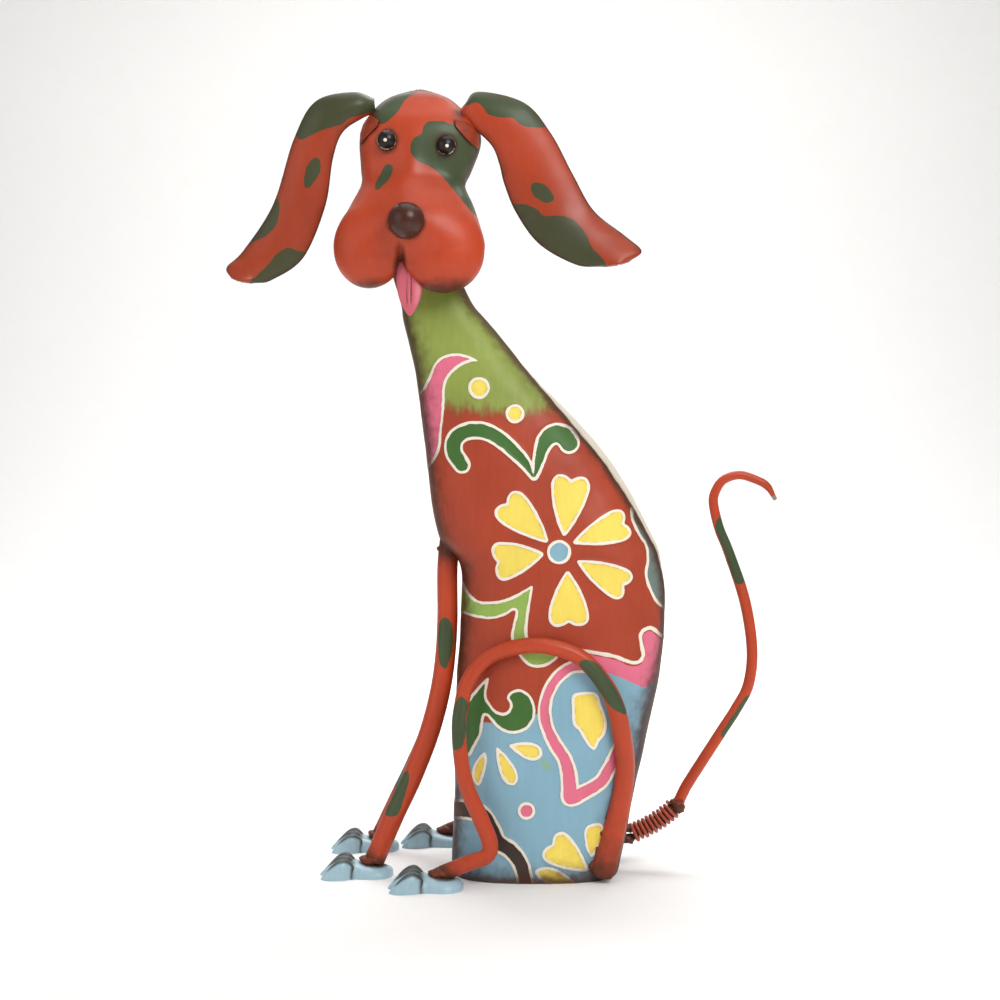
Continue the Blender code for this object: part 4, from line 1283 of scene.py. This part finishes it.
def tab_skin(edges, thickness):
    """The end of an ear's strip, lying on the head's face."""
    upper, lower = (evenly(np.column_stack([curve_through(e, 8), np.zeros(8 * len(e) - 7)]), 24)
                    for e in edges)
    share = np.linspace(0, 1, 12)[None, :, None]
    sheet = upper[:, None, :2] * (1 - share) + lower[:, None, :2] * share
    y = np.full(sheet.shape[:2], -32.0)
    for _ in range(6):
        x, z = off_sheet(sheet[..., 0], sheet[..., 1], y)
        y = head_front(x, z)
    front = np.stack([x, y - thickness, z], axis=-1)
    rear = np.stack([x, y + 0.3, z], axis=-1)[:, ::-1]
    return np.concatenate([front, rear], axis=1)


def build_ears():
    sizes = bpy.context.scene.dog_sizes
    thickness = sizes.sheet_thickness / MM
    for name, pairs in EARS.items():
        bm = bmesh.new()
        skin, edge = ear_skin(pairs, thickness)
        add_skin(bm, skin)
        tab = tab_skin(EAR_TABS[name], thickness)
        add_skin(bm, tab)
        mesh = add_object(name, bm, red_paint(), 60).data
        x, y, z = vertex_places(mesh)
        u, v = on_sheet(x, y, z)
        patch = patches_distance(EAR_PATCHES[name], u, v)
        on_tab = grid_values(mesh, np.concatenate([np.zeros(edge.size), np.ones(tab[..., 0].size)]))
        edge_wash_and_shade = grid_values(mesh, np.concatenate([edge.ravel(), np.zeros(tab[..., 0].size)]))
        store(mesh, "patch", np.where(on_tab > 0.5, 10.0, patch))
        # Darker along the edges and on the folded tab: brown antiquing and painted shade
        rim = 0.75 * smooth(edge_wash_and_shade, 0.94, 1.0) + 0.34 * smooth(edge_wash_and_shade, 0.55, 1.0)
        store(mesh, "wash_and_shade", np.where(on_tab > 0.5, 0.46, rim))
        store(mesh, "bare", np.zeros(len(x)))
        # Painted shade over each ear, partly a darker paint
        top, tip = EAR_SHADE[name]
        shade = top + (tip - top) * smooth(z, 410, 345)
        store(mesh, "shade", np.where(on_tab > 0.5, 0.0, shade))


# Legs, feet and tail

def limb(name, route, sizes, sides, wash_and_shade, lumps, bare=None):
    """A painted tube with its patches; its darkening and its bare steel are given along the route, and
    its sides are darkened as painted shade.
    """
    bm = bmesh.new()
    rings = swept_rings(route, sizes, sides)
    add_skin(bm, rings)
    turn = np.linspace(0, 2 * math.pi, sides, endpoint=False)
    for centre, radii in lumps:
        add_lump(bm, centre, radii)
    mesh = add_object(name, bm, red_paint(), 60).data
    x, y, z = vertex_places(mesh)
    u, v = on_sheet(x, np.minimum(y, 0), z)
    store(mesh, "patch", patches_distance(LIMB_PATCHES[name], u, v))
    # The tube darker towards its outline as seen from the front: painted shade
    edge_wash_and_shade = 0.30 * smooth(np.abs(np.cos(turn)), 0.72, 1.0)
    laid = np.maximum(np.repeat(wash_and_shade[:, None], sides, axis=1), edge_wash_and_shade)
    worn = np.zeros(len(rings)) if bare is None else bare
    lump_wash, lump_bare = np.full(len(lumps), 0.66), np.zeros(len(lumps))
    store(mesh, "wash_and_shade", grid_values(mesh, np.concatenate([laid.ravel(), lump_wash])))
    store(mesh, "bare", grid_values(mesh, np.concatenate([np.repeat(worn, sides), lump_bare])))


def leg_route(points):
    """Places and half sizes of a front leg."""
    sizes = bpy.context.scene.dog_sizes
    held = [(x, -y, z) for x, y, z in points]
    held[-1] = (*held[-1][:2], sizes.foot_height / MM * LEG_END_RISE)
    route = evenly(curve_through(held, 12), 110)
    half = sizes.front_leg / MM / 2
    return route, np.full((len(route), 2), half)


def hind_route(side):
    """Places and half sizes of a hind leg along the torso; side is -1 left and 1 right."""
    sizes = bpy.context.scene.dog_sizes
    spread = RIGHT_HIND_SPREAD if side > 0 else 0.0
    diameter, rows = sizes.hind_leg / MM, []
    for i, (x, out, z, width) in enumerate(HIND_LEG):
        press = max(0.0, 1 - i / THIGH_FLAT_POINTS)
        wide = diameter * width + (sizes.thigh_width / MM - diameter * width) * press
        thick = diameter * width + (sizes.thigh_thickness / MM - diameter * width) * press
        touch = float(torso_side(max(x, THIGH_FRONT), z)) + thick / 2
        away = touch + out + spread * out / HIND_LEG[-1][1]
        rows.append((x, side * away, z, wide / 2, thick / 2))
    rows[-1] = (*rows[-1][:2], sizes.foot_height / MM * LEG_END_RISE, *rows[-1][3:])
    path = evenly(curve_through(rows, 10), 190)
    return path[:, :3], path[:, 3:]


def build_legs():
    for name, points in FRONT_LEGS.items():
        route, sizes = leg_route(points)
        z = route[:, 2]
        # Darker at the foot and where the leg meets the torso: painted shade between parts, with brown
        # antiquing
        wash_and_shade = np.maximum(1.0 * np.exp(-(z - z.min()) / 5.0), 0.8 * np.exp(-(176 - z).clip(0) / 6.0))
        limb(name, route, sizes, 32, wash_and_shade,
             [((-51.0, -points[0][1], 178), (3.0, 4.5, 2.4)),
              ((route[-1][0] - 1.5, route[-1][1], route[-1][2] + 0.6), (6.6, 6.4, 3.0))])
    for name, side in (("left_hind_leg", -1), ("right_hind_leg", 1)):
        route, sizes = hind_route(side)
        route, sizes = rounded_end(route, sizes, True, 1.6)
        z, x = route[:, 2], route[:, 0]
        start = np.linspace(0, 1, len(z))
        near_end = np.clip((10.0 - z) / 8.0, 0, 1) * (start < 0.3)
        sizes = sizes * np.sqrt(1 - 0.72 * near_end ** 2)[:, None]
        # The pressed thigh end darker towards the bottom; near the foot, painted shade where the leg
        # meets it
        wash_and_shade = np.maximum(np.where(start < 0.25, 0.80 * np.exp(-(z - 3).clip(0) / 22.0), 0),
                          np.where(start > 0.8, 1.0 * np.exp(-(z - z[-1]).clip(0) / 3.5), 0))
        lumps = []
        for height, shift in THIGH_WELDS:
            at = np.interp(height, z[:40], x[:40]) + shift
            lumps.append(((at, side * (float(torso_side(at, height)) + 0.6), height),
                          (2.2, 2.0, 2.6)))
        lumps.append(((route[-1][0] - 1.0, route[-1][1], route[-1][2] + 0.4), (5.8, 5.2, 2.8)))
        limb(name, route, sizes, 32, wash_and_shade, lumps)


def section_skin(rows):
    """A flat-bottomed skin along +X: rows hold the place, half width, height and side shift."""
    sides = 36
    turn = np.linspace(0, 2 * math.pi, sides, endpoint=False)
    across, up = squarish(turn, 2.5)
    rings = []
    for x, half, height, shift in rows:
        z = np.where(up > 0, up * height, 0.0)
        rings.append(np.column_stack([np.full(sides, x), shift + across * half, z]))
    return np.array(rings)


def foot_parts(long, wide, tall):
    """Rows of the pad and the three toes, as section_skin takes them."""
    parts = [("pad", np.array([(a * long, b * wide, c * tall, 0.0) for a, b, c in FOOT_PAD]))]
    for side, short in ((-1, SIDE_TOE_LENGTH), (0, 1.0), (1, SIDE_TOE_LENGTH)):
        rows = [(a * long * (short if a < -0.1 else 1.0), b * wide, c * tall,
                 side * wide * (0.27 + 0.12 * min(1.0, max(0.0, (-a - 0.06) / 0.34))))
                for a, b, c in FOOT_TOE]
        parts.append(("toe", np.array(rows)))
    return parts


def foot_wash_and_shade(kind, skin, long, tall, ahead):
    """Darker on the backs of the toes; painted shade at the toes' roots, on the pad behind them and
    round the leg.
    """
    share = skin[..., 2] / tall
    if kind == "toe":
        top = skin[..., 2] / np.maximum(skin[..., 2].max(axis=1)[:, None], 0.3)
        wash_and_shade = 0.88 * smooth(top, 0.70, 0.98) * smooth(share, 0.20, 0.7)
        return np.maximum(wash_and_shade, 0.9 * smooth(skin[..., 0] / long, -0.10, -0.02))
    wash_and_shade = 0.95 * smooth(skin[..., 0] / long, 0.04, -0.10)
    away = np.hypot(skin[..., 0] - ahead, skin[..., 1])
    return np.maximum(wash_and_shade, 0.8 * smooth(away, 9.0, 5.5) * smooth(share, 0.3, 0.5))


def build_feet():
    sizes = bpy.context.scene.dog_sizes
    long, wide, tall = (s / MM for s in (sizes.foot_length, sizes.foot_width, sizes.foot_height))
    ends = {}
    for name, points in FRONT_LEGS.items():
        ends[name.replace("leg", "foot")] = leg_route(points)[0][-1]
    for name, side in (("left_hind_foot", -1), ("right_hind_foot", 1)):
        ends[name] = hind_route(side)[0][-1]
    for name, end in ends.items():
        ahead = FOOT_AHEAD["hind" if "hind" in name else "front"]
        bm = bmesh.new()
        washes = []
        for kind, rows in foot_parts(long, wide, tall):
            skin = section_skin(curve_through(rows, 5))
            washes.append(foot_wash_and_shade(kind, skin, long, tall, ahead).ravel())
            skin[..., 0] += end[0] - ahead
            skin[..., 1] += end[1]
            add_skin(bm, skin)
        mesh = add_object(name, bm, foot_paint(), 50).data
        store(mesh, "wash_and_shade", grid_values(mesh, np.concatenate(washes)))


def spring_line():
    """Base, direction and coil radius of the tail's spring, and where it ends."""
    sizes = bpy.context.scene.dog_sizes
    wire, rod = sizes.spring_wire / MM, sizes.rod / MM
    radius = rod / 2 + 0.5 + wire / 2
    along = np.array([math.cos(SPRING_RISE), 0, math.sin(SPRING_RISE)])
    outer = radius + wire / 2
    edge = torso_section(SPRING_BASE_HEIGHT + outer * along[0])[1] + outer * along[2]
    base = np.array([edge + 0.3 + wire / 2, 0, SPRING_BASE_HEIGHT])
    pitch = wire + sizes.spring_gap / MM
    return base, along, radius, base + along * pitch * sizes.spring_turns


def build_spring():
    sizes = bpy.context.scene.dog_sizes
    wire = sizes.spring_wire / MM / 2
    base, along, radius, end = spring_line()
    up = np.array([-along[2], 0, along[0]])
    turns = sizes.spring_turns
    turn = np.linspace(0.0, 2 * math.pi * turns + 0.5, 36 * turns)
    travel = np.clip(turn / (2 * math.pi * turns), 0, 1)[:, None]
    line = base + (end - base) * travel - up * SPRING_SAG * 4 * travel * (1 - travel)
    onward = np.gradient(line, axis=0)
    onward[-8:] = onward[-9]
    onward /= np.linalg.norm(onward, axis=1)[:, None]
    above = np.column_stack([-onward[:, 2], onward[:, 1], onward[:, 0]])
    out = above * np.cos(turn)[:, None]
    out[:, 1] -= np.sin(turn)
    middle = line + out * (radius + 0.25 * np.sin(turn * 0.53))[:, None]
    small = np.linspace(0, 2 * math.pi, 14, endpoint=False)
    rings = (middle[:, None] + out[:, None] * np.cos(small)[None, :, None] * wire
             + onward[:, None] * np.sin(small)[None, :, None] * wire)
    bm = bmesh.new()
    add_skin(bm, rings)
    # Darker on the coils' inner side: painted shade between the turns
    inward = 0.5 + 0.5 * -np.cos(small)
    dark = np.repeat(inward[None, :], len(turn), axis=0) * 0.8
    add_lump(bm, (base[0] - 2.6, 0, 22.4), (3.0, 3.2, 2.6))
    add_lump(bm, (base[0] - 2.8, 0, 16.6), (4.2, 3.4, 3.0))
    mesh = add_object("tail_spring", bm, spring_paint(), 70).data
    store(mesh, "wash_and_shade", grid_values(mesh, np.concatenate([dark.ravel(), [0.9, 0.9]])))


def build_tail_rod():
    sizes = bpy.context.scene.dog_sizes
    wire, rod = sizes.spring_wire / MM / 2, sizes.rod / MM / 2
    _, along, _, end = spring_line()
    up = np.array([-along[2], 0, along[0]])
    start = end + along * (wire + 0.3)
    held = [end - along * 6.0, end - along * 2.5, start + along * 0.5]
    held += [(end[0] + a, 0, end[2] + b) for a, b in TAIL_ROUTE]
    path = evenly(curve_through(held, 10), 260)
    share = np.linspace(0, 1, len(path))
    taper = np.maximum(0.0, share - TAIL_TAPER_START) / (1 - TAIL_TAPER_START)
    thin = rod + (sizes.rod_tip / MM / 2 - rod) * taper
    from_knob = np.linalg.norm(path - (start + along * 1.6), axis=1)
    thin = thin + 1.6 * smooth(from_knob, 2.8, 1.2)
    half = np.column_stack([thin, thin * (1 - 0.35 * smooth(share, 0.95, 1.0))])
    half *= (1 - 0.45 * smooth(share, 0.955, 1.0))[:, None]
    route, half = rounded_end(path, half, False, 0.7)
    far = np.concatenate([[0], np.cumsum(np.linalg.norm(np.diff(route, axis=0), axis=1))])
    # Darker where the rod leaves the spring: painted shade between parts
    wash_and_shade = 0.85 * smooth(far, 14.0, 9.0)
    bare = smooth(far, far[-1] - 3.2, far[-1] - 2.0)
    limb("tail_rod", route, half, 28, wash_and_shade,
         [(start + along * 1.0 + up * 2.0, (2.5, 3.8, 2.2)),
          (start + along * 1.6 - up * 2.2, (2.6, 3.6, 2.4)),
          (start + along * 3.6 + up * 2.4, (3.0, 3.9, 1.7))], bare)


def build_tail():
    build_spring()
    build_tail_rod()


# Stage

def build_floor():
    colours = bpy.context.scene.dog_colours
    bm = bmesh.new()
    made = bmesh.ops.create_grid(bm, x_segments=8, y_segments=48, size=1.0)["verts"]
    for vert in made:
        across, along = vert.co.x * 4.0, (vert.co.y + 1) * 3.2
        straight, radius = FLOOR_LENGTH, FLOOR_BEND
        bend = max(0.0, min(along - straight, radius * math.pi / 2))
        rise = max(0.0, along - straight - radius * math.pi / 2)
        vert.co = (across, -1.8 + min(along, straight) + radius * math.sin(bend / radius),
                   radius * (1 - math.cos(bend / radius)) + rise)
    mesh = bpy.data.meshes.new("studio_floor")
    bm.to_mesh(mesh)
    bm.free()
    mesh.shade_smooth()
    floor = bpy.data.objects.new("studio_floor", mesh)
    bpy.context.scene.collection.objects.link(floor)
    material = bpy.data.materials.new("studio_floor")
    material.use_nodes = True
    w = Wiring(material.node_tree)
    shader = material.node_tree.nodes["Principled BSDF"]
    position = w.add("ShaderNodeTexCoord", {}, out="Object")
    tone = toned(w, position, rgba(colours.floor), 0.02)
    material.node_tree.links.new(tone, shader.inputs["Base Color"])
    shader.inputs["Roughness"].default_value = 0.9
    mesh.materials.append(material)


def build_lights():
    for name, place, size, power in LIGHTS:
        light = bpy.data.lights.new(name, "AREA")
        light.shape, light.size, light.energy = "DISK", size, power
        lamp = bpy.data.objects.new(name, light)
        bpy.context.scene.collection.objects.link(lamp)
        target = Vector((0, 1.6, 0.5)) if name == "backdrop" else Vector((0, 0, 0.2))
        lamp.location = place
        lamp.rotation_euler = (target - Vector(place)).to_track_quat("-Z", "Y").to_euler()
    world = bpy.data.worlds.new("studio")
    world.use_nodes = True
    sky = world.node_tree.nodes["Background"]
    sky.inputs["Color"].default_value = (1.0, 1.0, 1.0, 1.0)
    sky.inputs["Strength"].default_value = 0.33
    bpy.context.scene.world = world
    bpy.context.scene.view_settings.view_transform = "Standard"


def build_camera():
    camera = bpy.data.cameras.new("camera")
    camera.sensor_width = 36.0
    camera.lens = SHEET_REACH / 1000 * 36.0
    seen = bpy.data.objects.new("camera", camera)
    bpy.context.scene.collection.objects.link(seen)
    seen.location = (SHEET_AT[0] * MM, -EYE_DISTANCE * MM, SHEET_AT[1] * MM)
    seen.rotation_euler = (math.pi / 2, 0, 0)
    bpy.context.scene.camera = seen


def build_stage():
    build_floor()
    build_lights()
    build_camera()


# Operators and panel

class DOG_OT_torso(bpy.types.Operator):
    """Build the painted torso"""

    bl_idname = "metal_dog.torso"
    bl_label = "Torso"

    def execute(self, context):
        build_torso()
        return {"FINISHED"}


class DOG_OT_head(bpy.types.Operator):
    """Build the head"""

    bl_idname = "metal_dog.head"
    bl_label = "Head"

    def execute(self, context):
        build_head()
        return {"FINISHED"}


class DOG_OT_balls(bpy.types.Operator):
    """Build the nose and the eyes"""

    bl_idname = "metal_dog.balls"
    bl_label = "Nose and Eyes"

    def execute(self, context):
        colours = context.scene.dog_colours
        build_ball("nose", "painted_nose", colours.nose, *NOSE)
        for name, (centre, radius, dot) in EYES.items():
            build_ball(name, "painted_eye", colours.eye, centre, radius, dot)
        return {"FINISHED"}


class DOG_OT_tongue(bpy.types.Operator):
    """Build the tongue"""

    bl_idname = "metal_dog.tongue"
    bl_label = "Tongue"

    def execute(self, context):
        build_tongue()
        return {"FINISHED"}


class DOG_OT_ears(bpy.types.Operator):
    """Build both ears"""

    bl_idname = "metal_dog.ears"
    bl_label = "Ears"

    def execute(self, context):
        build_ears()
        return {"FINISHED"}


class DOG_OT_legs(bpy.types.Operator):
    """Build the four legs"""

    bl_idname = "metal_dog.legs"
    bl_label = "Legs"

    def execute(self, context):
        build_legs()
        return {"FINISHED"}


class DOG_OT_feet(bpy.types.Operator):
    """Build the four feet"""

    bl_idname = "metal_dog.feet"
    bl_label = "Feet"

    def execute(self, context):
        build_feet()
        return {"FINISHED"}


class DOG_OT_tail(bpy.types.Operator):
    """Build the tail's spring and rod"""

    bl_idname = "metal_dog.tail"
    bl_label = "Tail"

    def execute(self, context):
        build_tail()
        return {"FINISHED"}


class DOG_OT_stage(bpy.types.Operator):
    """Build the floor, the lights and the camera"""

    bl_idname = "metal_dog.stage"
    bl_label = "Stage"

    def execute(self, context):
        build_stage()
        return {"FINISHED"}


OPERATORS = (
    DOG_OT_torso, DOG_OT_head, DOG_OT_balls, DOG_OT_tongue, DOG_OT_ears, DOG_OT_legs,
    DOG_OT_feet, DOG_OT_tail, DOG_OT_stage,
)


class DOG_PT_panel(bpy.types.Panel):
    """Sizes, colours and building steps of the metal dog"""

    bl_label = "Metal Dog"
    bl_idname = "DOG_PT_panel"
    bl_space_type = "VIEW_3D"
    bl_region_type = "UI"
    bl_category = "Metal Dog"

    def draw(self, context):
        for settings in (context.scene.dog_sizes, context.scene.dog_colours):
            box = self.layout.box()
            for name in settings.__annotations__:
                box.prop(settings, name)
        for operator in OPERATORS:
            self.layout.operator(operator.bl_idname)


CLASSES = (DogSizes, DogColours, *OPERATORS, DOG_PT_panel)


def register():
    for item in CLASSES:
        bpy.utils.register_class(item)
    bpy.types.Scene.dog_sizes = PointerProperty(type=DogSizes)
    bpy.types.Scene.dog_colours = PointerProperty(type=DogColours)


def unregister():
    del bpy.types.Scene.dog_colours
    del bpy.types.Scene.dog_sizes
    for item in reversed(CLASSES):
        bpy.utils.unregister_class(item)


def main():
    register()
    for operator in OPERATORS:
        name = operator.bl_idname.split(".")[1]
        getattr(bpy.ops.metal_dog, name)()


if __name__ == "__main__":
    main()
